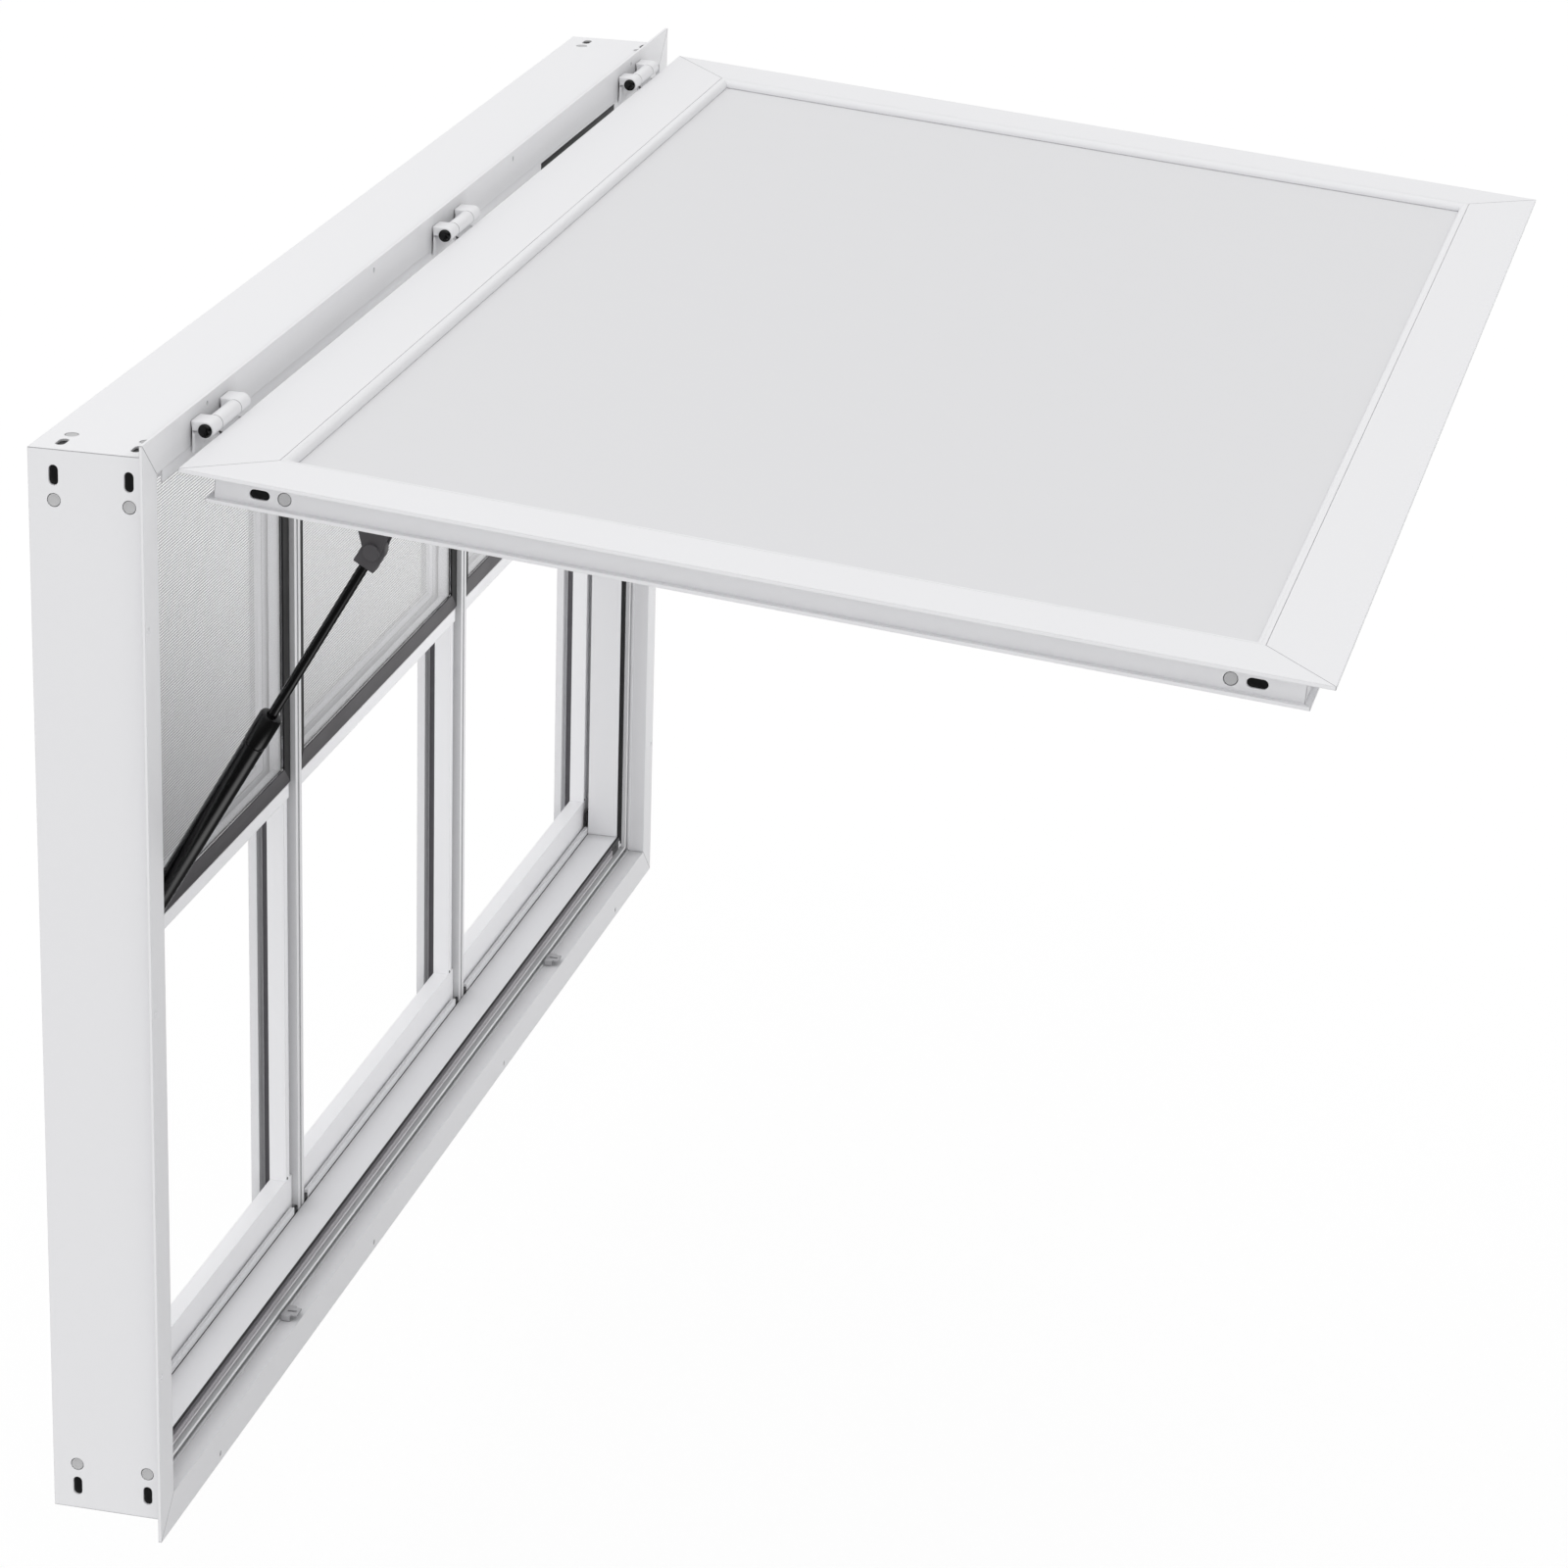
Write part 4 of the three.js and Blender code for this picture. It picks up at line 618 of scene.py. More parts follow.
class SERVINGWINDOW_OT_hinges(Operator):
    """Makes the three barrel hinges with their leaves, knuckles and capped pins"""

    bl_idname = "serving_window.hinges"
    bl_label = "Hinges"

    barrel = 6.5 * MM  # outer radius of the knuckles
    knuckle = 21.3 * MM  # length of the outer ones
    knuckle_gap = 0.3 * MM
    arm_thick = 7.6 * MM
    off_flange = 0.3 * MM
    ear_thick, ear_top, ear_bottom = 3 * MM, 2.9 * MM, 18.6 * MM
    web_thick, web_top, web_inset, web_round = 1.3 * MM, 4.4 * MM, 1 * MM, 0.2 * MM
    # The hatch leaf's strap: behind the plate's face, its thickness, how far it reaches down, its
    # inner and outer upper ends, and the part of the knuckle's circle that it leaves open.
    strap_behind, strap_thick, strap_reach = 3.3 * MM, 1.7 * MM, 24 * MM
    strap_inner, strap_outer = 3 * MM, 1 * MM
    wrap = (18, 323)
    ring_sunk, ring_half = 0.15 * MM, 0.6 * MM
    pin_radius, cap_radius = 3 * MM, 5.5 * MM
    cap_edge, cap_skirt, cap_dome = 0.2 * MM, 1 * MM, 2.2 * MM
    cap_sharp = 50

    def execute(self, context):
        edge = context.scene.serving_window_sizes.edge
        for place in BAYS:
            low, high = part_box(f"hinge_{place}_frame_leaf")
            middle = HINGE + (low.x + high.x) / 2 * EX
            half = (high.x - low.x) / 2
            self.frame_leaf(place, middle, half, edge)
            self.hatch_leaf(place, middle, half, edge)
            self.pin(place, middle, half)
            self.rings(place, middle, half)
        return report_done(self, 4 * len(BAYS), "hinge pieces made")

    def frame_leaf(self, place, middle, half, edge):
        """Each ear runs up the flange, forward as an arm, and round the pin as a knuckle; a thin web
        joins the two ears."""
        back = FACE_Y - HINGE[1] - self.off_flange
        top, under = self.barrel, self.barrel - self.arm_thick
        meet = math.degrees(math.atan2(under, math.sqrt(self.barrel**2 - under**2)))
        thin, thick = back - self.web_thick, back - self.ear_thick
        outline = np.concatenate(
            [
                [(back, -self.ear_bottom), (back, top)],
                arc((0, 0), self.barrel, 90, 360 + meet, 30),
                [(thin, under), (thin, -self.ear_top), (thick, -self.ear_top), (thick, -self.ear_bottom)],
            ]
        )
        shells = [
            slab(outline, low, low + self.knuckle, middle, EY, EZ, EX, edge)
            for low in (-half, half - self.knuckle)
        ]
        bottom, upper, reach = -self.ear_bottom, -self.web_top, half - self.web_inset
        web = [(thin, bottom), (back, bottom), (back, upper), (thin, upper)]
        shells.append(slab(web, -reach, reach, middle, EY, EZ, EX, self.web_round))
        build(f"frame_leaf_{place}", shells, "frame", "powder_coat", [f"hinge_{place}_frame_leaf"])

    def hatch_leaf(self, place, middle, half, edge):
        """The middle knuckle, whose strap turns down behind the hatch's plate."""
        front = PLATE_IN + self.strap_behind
        back = front + self.strap_thick
        reach = half - self.knuckle - self.knuckle_gap
        outline = np.concatenate(
            [
                arc((0, 0), self.barrel, *self.wrap, 30),
                [(front, self.strap_outer - PLATE_DOWN), (front, -self.strap_reach)],
                [(back, -self.strap_reach), (back, -self.strap_inner)],
            ]
        )
        leaf = moved(slab(outline, -reach, reach, middle[0] * EX, EY, EZ, EX, edge), swing)
        build(f"hatch_leaf_{place}", [leaf], "hatch", "powder_coat", [f"hinge_{place}_hatch_leaf"])

    def rings(self, place, middle, half):
        """A thin grey washer in each gap between two knuckles."""
        r, thick = self.barrel - self.ring_sunk, self.ring_half
        profile = [(0, -thick), (r, -thick), (r, thick), (0, thick)]
        at = half - self.knuckle - self.ring_sunk
        shells = [turned(profile, middle + x * EX, EX, 32) for x in (-at, at)]
        build(f"hinge_rings_{place}", shells, "frame", "joint_line")

    def pin(self, place, middle, half):
        """A pin with a domed cap at each end, proud of the knuckles."""
        shoulder = half + self.knuckle_gap
        t = np.linspace(0, np.pi / 2, 9)
        dome = [self.cap_radius * np.cos(t), shoulder + self.cap_skirt + self.cap_dome * np.sin(t)]
        under = [(self.pin_radius, shoulder), (self.cap_radius - self.cap_edge, shoulder)]
        upper = np.concatenate([under, np.stack(dome, 1)])
        profile = np.concatenate([upper[::-1] * (1, -1), upper])
        body = turned(profile, middle, EX, 32)
        node = f"hinge_{place}_pin"
        build(f"hinge_pin_{place}", [body], "frame", "nylon_cap", [node], sharp=self.cap_sharp)


# --- Gas struts ---


class SERVINGWINDOW_OT_struts(Operator):
    """Makes the two gas struts with their end fittings and the brackets on the hatch"""

    bl_idname = "serving_window.struts"
    bl_label = "Gas struts"

    rod_radius = 4 * MM
    rod_in_tube = 12 * MM
    tube_radius = 9 * MM
    tube_start = 163 * MM  # from the upper pivot, with the hatch open
    collar = 27 * MM
    fitting_half, fitting_thick, fitting_reach = 9 * MM, 11.4 * MM, 16 * MM
    fitting_round, fitting_lap = 0.8 * MM, 1 * MM
    stub_radius, stub_gap = 4 * MM, 0.3 * MM
    # The hatch bracket: its base from the pivot and half its width, the radius and half angle of the
    # ears' round ends, the plates' thickness and the gap beside the end fitting.
    base, base_half, base_thick = -20 * MM, 14 * MM, 2.5 * MM
    ear_end, ear_angle, ear_thick, ear_gap = 7 * MM, 62, 3 * MM, 0.3 * MM
    pin_radius, pin_tail = 4 * MM, 1 * MM
    head_radius, head_rim, head_high, head_edge = 6.5 * MM, 2.9 * MM, 3.4 * MM, 0.5 * MM

    def execute(self, context):
        edge = context.scene.serving_window_sizes.edge
        for name, side in SIDES:
            upper = np.array(JOINTS[f"strut_{name}_pivot"]["pos_m"])
            low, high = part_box(f"strut_{name}_jamb_bracket")
            lower = np.array([upper[0], (low.y + high.y) / 2, (low.z + high.z) / 2])
            stub = (low.x if side > 0 else high.x) - lower[0]
            up = (upper - lower) / np.linalg.norm(upper - lower)
            across = np.cross(up, EX)
            self.rod(name, upper, up, across, edge)
            self.cylinder(name, upper, lower, up, across, stub, edge)
            self.hatch_bracket(name, side, upper, edge)
        return report_done(self, 3 * len(SIDES), "strut pieces made")

    def fitting(self, origin, up, across, edge):
        """A flat block, half round beyond the pivot and square towards the strut, with the two square
        corners taken off by small quarter rounds."""
        half, r = self.fitting_half, self.fitting_round
        foot = [
            arc((way * (half - r), r - self.fitting_reach), r, start, start + 90, 4)
            for way, start in ((-1, 180), (1, 270))
        ]
        outline = np.concatenate([*foot, arc((0, 0), half, 0, 180, 20)])
        thick = self.fitting_thick / 2
        return slab(outline, -thick, thick, origin, across, up, EX, edge)

    def rod(self, name, upper, up, across, edge):
        """The fitting, then the plain rod down into the cylinder."""
        end, start = -self.tube_start - self.rod_in_tube, self.fitting_lap - self.fitting_reach
        r = self.rod_radius
        body = f"strut_{name}_rod"
        rod = turned([(0, end), (r, end), (r, start), (0, start)], upper, up, 32)
        build(f"strut_rod_{name}", [rod], body, "satin_lacquer", [body])
        build(f"strut_end_{name}", [self.fitting(upper, up, across, edge)], body, "phosphated_steel")

    def cylinder(self, name, upper, lower, up, across, stub, edge):
        """The tube with its rolled collar, the seal's lip round the rod, and the lower fitting with
        its stub pin. The steps are (radius beyond the tube's, height) in millimetres, from the
        bottom, from the collar's groove and from the top."""
        r, top = self.tube_radius, -self.tube_start
        bottom = -np.linalg.norm(upper - lower) + self.fitting_reach - self.fitting_lap
        groove = top - self.collar
        steps = [
            (bottom, ((-1.6, 0), (-0.5, 0.4), (0, 1.8))),
            (groove, ((0, -2.6), (-0.9, -2.0), (-0.9, -0.4), (0.3, 0.2))),
            (top, ((0.3, -2), (-0.4, -0.5), (-1.6, 0), (-4.6, 0), (-4.6, -4))),
        ]
        wall = [(r + out * MM, level + rise * MM) for level, rows in steps for out, rise in rows]
        profile = [(0, bottom), *wall, (0, wall[-1][1])]
        shells = [turned(profile, upper, up, 44), self.fitting(lower, -up, across, edge)]
        pin, long = self.stub_radius, abs(stub) - self.stub_gap
        outward = math.copysign(1, stub) * EX
        shells.append(turned([(0, 0), (pin, 0), (pin, long), (0, long)], lower, outward, 28))
        body = f"strut_{name}_cylinder"
        build(f"strut_tube_{name}", shells, body, "satin_lacquer", [body])

    def hatch_bracket(self, name, side, upper, edge):
        """A base under the rail and two tapering ears, with a headed pin through them."""
        c, s = math.cos(OPEN_ANGLE), math.sin(OPEN_ANGLE)
        depth_axis, height_axis = np.array([0, c, -s]), np.array([0, s, c])
        base, half, thick = self.base, self.base_half, self.base + self.base_thick
        ear_in = self.fitting_thick / 2 + self.ear_gap
        ear_out = ear_in + self.ear_thick
        end = arc((0, 0), self.ear_end, -self.ear_angle, self.ear_angle, 16)
        outline = np.concatenate([[(base, half), (base, -half)], end])
        shells = [
            slab(outline, low, low + self.ear_thick, upper, depth_axis, height_axis, EX, edge)
            for low in (-ear_out, ear_in)
        ]
        foot = rounded([(base, -half), (thick, -half), (thick, half), (base, half)], edge)
        shells.append(slab(foot, -ear_out, ear_out, upper, depth_axis, height_axis, EX, edge))
        tail, rim, high = -ear_out - self.pin_tail, ear_out + self.head_rim, ear_out + self.head_high
        pin = [(0, tail), (self.pin_radius, tail), (self.pin_radius, ear_out), (self.head_radius, ear_out)]
        pin += [(self.head_radius, rim), (self.head_radius - self.head_edge, high), (0, high)]
        shells.append(turned(pin, upper, side * EX, 40))
        build(f"hatch_bracket_{name}", shells, "hatch", "phosphated_steel", [f"strut_{name}_hatch_bracket"])


# --- Insect screens and brush strips ---


class SERVINGWINDOW_OT_screens(Operator):
    """Weaves the insect screens and lays the cord that holds each in its frame"""

    bl_idname = "serving_window.screens"
    bl_label = "Insect screens"

    # Front and back of the level and of the upright threads, from the middle of the cloth.
    level_depths, upright_depths = (-0.2, 0.0), (-0.05, 0.1)
    cord_inset, cord_depth, cord_flat = 25 * MM, 1.0 * MM, 0.9
    thread_sharp, cord_sharp = 20, 60

    def execute(self, context):
        sizes = context.scene.serving_window_sizes
        for bay in BAYS:
            self.weave(bay, sizes.thread_pitch, sizes.level_thread, sizes.upright_thread)
            self.spline(bay, sizes.spline_radius)
        return report_done(self, 2 * len(BAYS), "screen pieces made")

    def weave(self, bay, pitch, level, upright):
        """Level and upright threads, each a flat bar at a whole number of pitches from the middle;
        the upright ones lie a little further back, so that the two sets cross."""
        low, high = (np.array(c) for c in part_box(f"screen_mesh_{bay}"))
        middle, half = (low + high) / 2, (high - low) / 2
        shells = []
        for along, over, width, depths in (
            (0, 2, level, self.level_depths),
            (2, 0, upright, self.upright_depths),
        ):
            count = int(half[over] / pitch)
            place = middle[over] + pitch * np.arange(-count, count + 1)
            lows, highs = np.empty((len(place), 3)), np.empty((len(place), 3))
            lows[:, along], highs[:, along] = low[along], high[along]
            lows[:, 1], highs[:, 1] = middle[1] + depths[0] * MM, middle[1] + depths[1] * MM
            lows[:, over], highs[:, over] = place - width / 2, place + width / 2
            shells.append(bars(lows, highs))
        node, body = f"screen_mesh_{bay}", f"screen_{bay}"
        build(f"screen_weave_{bay}", shells, body, "screen_thread", [node], sharp=self.thread_sharp)

    def spline(self, bay, radius):
        """A cord pressed slightly flat in the groove of the screen's frame."""
        low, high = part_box(f"screen_frame_{bay}")
        t = np.linspace(0, 2 * np.pi, 10, endpoint=False)
        inset = self.cord_inset + radius * self.cord_flat * np.cos(t)
        outline = np.stack([inset, self.cord_depth + radius * np.sin(t)], 1)
        ring = mitred_ring(outline, (low.x, high.x), (low.z, high.z), low.y)
        build(f"screen_spline_{bay}", [ring], f"screen_{bay}", "polythene_plug", sharp=self.cord_sharp)


class SERVINGWINDOW_OT_brushes(Operator):
    """Lays the brush strips along both sides of every screen channel"""

    bl_idname = "serving_window.brushes"
    bl_label = "Brush strips"

    from_face, from_side, from_end, pile_round = 0.6 * MM, 0.35 * MM, 34 * MM, 0.15 * MM

    def execute(self, context):
        height = context.scene.serving_window_sizes.pile_height
        low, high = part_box("screen_frame_left")
        y0, y1 = low.y + self.from_face, high.y - self.from_face
        z0, z1 = FRAME_Z[0] + self.from_end, FRAME_Z[1] - self.from_end
        for bay in BAYS:
            bay_low, bay_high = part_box(f"screen_frame_{bay}")
            for (side, way), edge in zip(SIDES, (bay_low.x, bay_high.x)):
                near = edge + way * self.from_side
                x0, x1 = sorted((near, near + way * height))
                strip = block((x0, y0, z0), (x1, y1, z1), self.pile_round)
                build(f"brush_{bay}_{side}", [strip], "frame", "pile_brush")
        return report_done(self, 2 * len(BAYS), "brush strips made")


# --- Small fittings ---


class SERVINGWINDOW_OT_plugs(Operator):
    """Presses a plug into each round access hole, and sets a black pad, painted shade, behind each slot beside it
    """

    bl_idname = "serving_window.plugs"
    bl_label = "Plugs"

    # Distance of the holes and slots from the ends of the frame's members and of the hatch's rails.
    plug_from_ends, slot_from_ends = (52.5 * MM, 76.8 * MM), (33 * MM, 57.3 * MM)
    rows = (15.8 * MM, 75.3 * MM)  # depths behind the flange's face
    lap = 13 * MM  # the flange beyond the members
    hatch_row = 16.6 * MM  # depth behind the hatch plate's face
    channel = 21.8 * MM  # the hatch plate beyond its rails
    wall = 2.3 * MM
    slot_pad, pad_round = (22 * MM, 12 * MM, 0.6 * MM), 0.2 * MM
    # The plug's profile of (share of its radius, height in millimetres).
    dish = ((0, -0.55), (0.78, -0.5), (0.88, -0.2), (0.97, -0.25), (1, -0.5), (1, -1.6), (0, -1.6))

    def execute(self, context):
        made = 0
        for names, from_ends, sunk, shape, finish in (
            (("frame_plugs", "hatch_plugs"), self.plug_from_ends, 0, self.plug, "polythene_plug"),
            (("slot_backs", "hatch_slot_backs"), self.slot_from_ends, self.wall, self.back, "black_block_and_shade"),
        ):
            on_frame = [shape(*hole) for hole in self.frame_holes(from_ends[0], sunk)]
            on_hatch = [moved(shape(*hole), swing) for hole in self.hatch_holes(from_ends[1], sunk)]
            build(names[0], on_frame, "frame", finish)
            build(names[1], on_hatch, "hatch", finish)
            made += len(on_frame) + len(on_hatch)
        return report_done(self, made, "plugs and pads made")

    def frame_holes(self, from_end, sunk):
        """Middle and outward direction of every hole at that distance from the members' ends."""
        for depth in self.rows:
            y = FACE_Y + depth
            for end, way in ENDS:
                along_x, along_z = FRAME_X[end] + way * from_end, FRAME_Z[end] + way * from_end
                for other, inward in ENDS:
                    under = inward * (self.lap + sunk)
                    yield np.array([along_x, y, FRAME_Z[other] + under]), -inward * EZ
                    yield np.array([FRAME_X[other] + under, y, along_z]), -inward * EX

    def hatch_holes(self, from_end, sunk):
        """The same for the hatch's side rails, with the hatch shut and from its hinge line."""
        for side, inward in ENDS:
            x = HATCH_X[side] + inward * (self.channel + sunk)
            for z in (HATCH_Z[1] - from_end, HATCH_Z[0] + from_end):
                yield np.array([x, PLATE_IN + self.hatch_row, z]), -inward * EX

    def plug(self, centre, outward):
        """A shallow dish with a rounded rim, set just below the surface."""
        radius = bpy.context.scene.serving_window_sizes.plug_radius
        return turned(np.array(self.dish) * (radius, MM), centre, outward, 28)

    def back(self, centre, outward):
        """A black pad, so that the slot looks into the dark."""
        half = np.array(self.slot_pad) / 2
        half = half if outward[2] else half[::-1]
        return block(centre - half, centre + half, self.pad_round)


class SERVINGWINDOW_OT_pads(Operator):
    """Packs black pads beside each mullion's foot and head and above the stops at the jambs, painted shade for the
    dark gaps there, and fills the stops' grooves and gaps
    """

    bl_idname = "serving_window.pads"
    bl_label = "Mullion pads"

    top = 57.4 * MM  # from the frame's edge to the end of the pads at the mullions
    mullion_half = 8.3 * MM
    from_end, from_face, pad_round = 0.2 * MM, 0.4 * MM, 0.4 * MM
    jamb_pad, jamb_pad_rise, above_stop = (37 * MM, 52.5 * MM), 17 * MM, 0.3 * MM
    # The stops' white inserts: below the stops' top from and to, and their round.
    insert, insert_round = (1.1 * MM, 0.3 * MM), 0.15 * MM
    # The black strip painted as the shade of the gap between the stops and the sill's ledge: its width, the
    # ledge's height, the gap's level above the ledge from and to, and its round.
    gap, ledge_top, gap_level, gap_round = 0.9 * MM, 53 * MM, (0.01 * MM, 0.12 * MM), 0.04 * MM

    def execute(self, context):
        long = context.scene.serving_window_sizes.pad_length
        stop_low, stop_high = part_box("sash_stop_centre")
        y0, y1 = stop_low.y + self.from_face, stop_high.y - self.from_face
        spans = []
        for node in ("mullion_left", "mullion_right"):
            low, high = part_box(node)
            foot = low.z + self.from_end, FRAME_Z[0] + self.top
            head = FRAME_Z[1] - self.top, high.z - self.from_end
            for way in (-1, 1):
                near = (low.x + high.x) / 2 + way * self.mullion_half
                spans += [((near, near + way * long), rise) for rise in (foot, head)]
        foot = stop_high.z + self.above_stop
        for end, way in ENDS:
            across = [FRAME_X[end] + way * inset for inset in self.jamb_pad]
            spans.append((across, (foot, foot + self.jamb_pad_rise)))
        # Painted shade: black blocks where the gaps beside the mullions and over the jambs' stops are dark.
        shells = []
        for across, (z0, z1) in spans:
            x0, x1 = sorted(across)
            shells.append(block((x0, y0, z0), (x1, y1, z1), self.pad_round))
        build("mullion_pads", shells, "frame", "black_block_and_shade")
        self.stop_strips()
        return report_done(self, len(shells), "pads made")

    def stop_strips(self):
        """A white insert in each stop's groove and, in front of the stops, a black strip painted as the dark gap
        to the ledge.
        """
        inserts, gaps = [], []
        ledge = [FRAME_Z[0] + self.ledge_top + level for level in self.gap_level]
        for bay in BAYS:
            low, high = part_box(f"sash_stop_{bay}")
            third = (high.y - low.y) / 3
            near = (low.x + self.from_end, low.y + third, high.z - self.insert[0])
            far = (high.x - self.from_end, high.y - third, high.z - self.insert[1])
            inserts.append(block(near, far, self.insert_round))
            near, far = (low.x, low.y - self.gap, ledge[0]), (high.x, low.y, ledge[1])
            gaps.append(block(near, far, self.gap_round))
        build("stop_inserts", inserts, "frame", "powder_coat")
        build("stop_gap_shades", gaps, "frame", "black_rubber_and_shade")


class SERVINGWINDOW_OT_seams(Operator):
    """Draws the joint lines at the mitres of the frame's flange and of the hatch's plate"""

    bl_idname = "serving_window.seams"
    bl_label = "Mitre lines"

    flange, plate, near = 30 * MM, 59 * MM, 0.5 * MM  # how far in the lines reach, and where they start
    proud, line_round = 0.04 * MM, 0.01 * MM

    def execute(self, context):
        half = context.scene.serving_window_sizes.seam_width / 2
        frame_lines = self.corner_lines(FRAME_X, FRAME_Z, FACE_Y, self.flange, half)
        hatch_lines = self.corner_lines(HATCH_X, HATCH_Z, PLATE_IN, self.plate, half)
        build("frame_seams", frame_lines, "frame", "joint_line")
        build("hatch_seams", [moved(line, swing) for line in hatch_lines], "hatch", "joint_line")
        return report_done(self, len(frame_lines) + len(hatch_lines), "lines drawn")

    def corner_lines(self, xs, zs, face, reach, half):
        """A thin flat bar along each corner's diagonal, from just inside the corner to the reach."""
        near, far = self.near * math.sqrt(2), reach * math.sqrt(2)
        outline = [(near, -half), (far, -half), (far, half), (near, half)]
        lines = []
        for x_end, x_way in ENDS:
            for z_end, z_way in ENDS:
                u = np.array([x_way, 0, z_way]) / math.sqrt(2)
                v = np.cross(EY, u)
                origin = np.array([xs[x_end], face, zs[z_end]])
                lines.append(slab(outline, -self.proud, self.proud, origin, u, v, EY, self.line_round))
        return lines


class SERVINGWINDOW_OT_screws(Operator):
    """Puts in the screws of the strut brackets, of the sill's end blocks and of the stiles' feet"""

    bl_idname = "serving_window.screws"
    bl_label = "Screws"

    from_end = 6 * MM
    foot_height, foot_inset = 89 * MM, 13.4 * MM
    block_sunk, foot_proud = 0.5 * MM, 0.1 * MM
    bracket_size, block_size, foot_size = 1.3, 0.65, 0.6  # shares of the screws' radius
    # A low domed head with a round socket, in shares of its radius: it rises, turns over and drops.
    pan_head = ((0, -0.25), (0.4, -0.25), (0.46, 0.34), (0.8, 0.28), (1, 0.05), (1, -0.3), (0, -0.3))

    def execute(self, context):
        radius = context.scene.serving_window_sizes.screw_radius
        heads, small = [], []
        for name, side in SIDES:
            low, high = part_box(f"strut_{name}_jamb_bracket")
            x = low.x if side > 0 else high.x
            for z in (low.z + self.from_end, high.z - self.from_end):
                centre = (x, (low.y + high.y) / 2, z)
                heads.append(self.head(radius * self.bracket_size, centre, -side * EX))
            low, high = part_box(f"sill_block_{name}")
            centre = ((low.x + high.x) / 2, low.y + self.block_sunk, (low.z + high.z) / 2)
            small.append(self.head(radius * self.block_size, centre, -EY))
        for bay in BAYS:
            low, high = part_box(f"bay_frame_{bay}")
            for x in (low.x + self.foot_inset, high.x - self.foot_inset):
                centre = (x, low.y - self.foot_proud, FRAME_Z[0] + self.foot_height)
                small.append(self.head(radius * self.foot_size, centre, -EY))
        build("bracket_screws", heads, "frame", "phosphated_steel")
        build("small_screws", small, "frame", "phosphated_steel")
        return report_done(self, len(heads) + len(small), "screws made")

    def head(self, radius, centre, outward):
        return turned(np.array(self.pan_head) * radius, centre, outward, 20)


# --- Stage ---


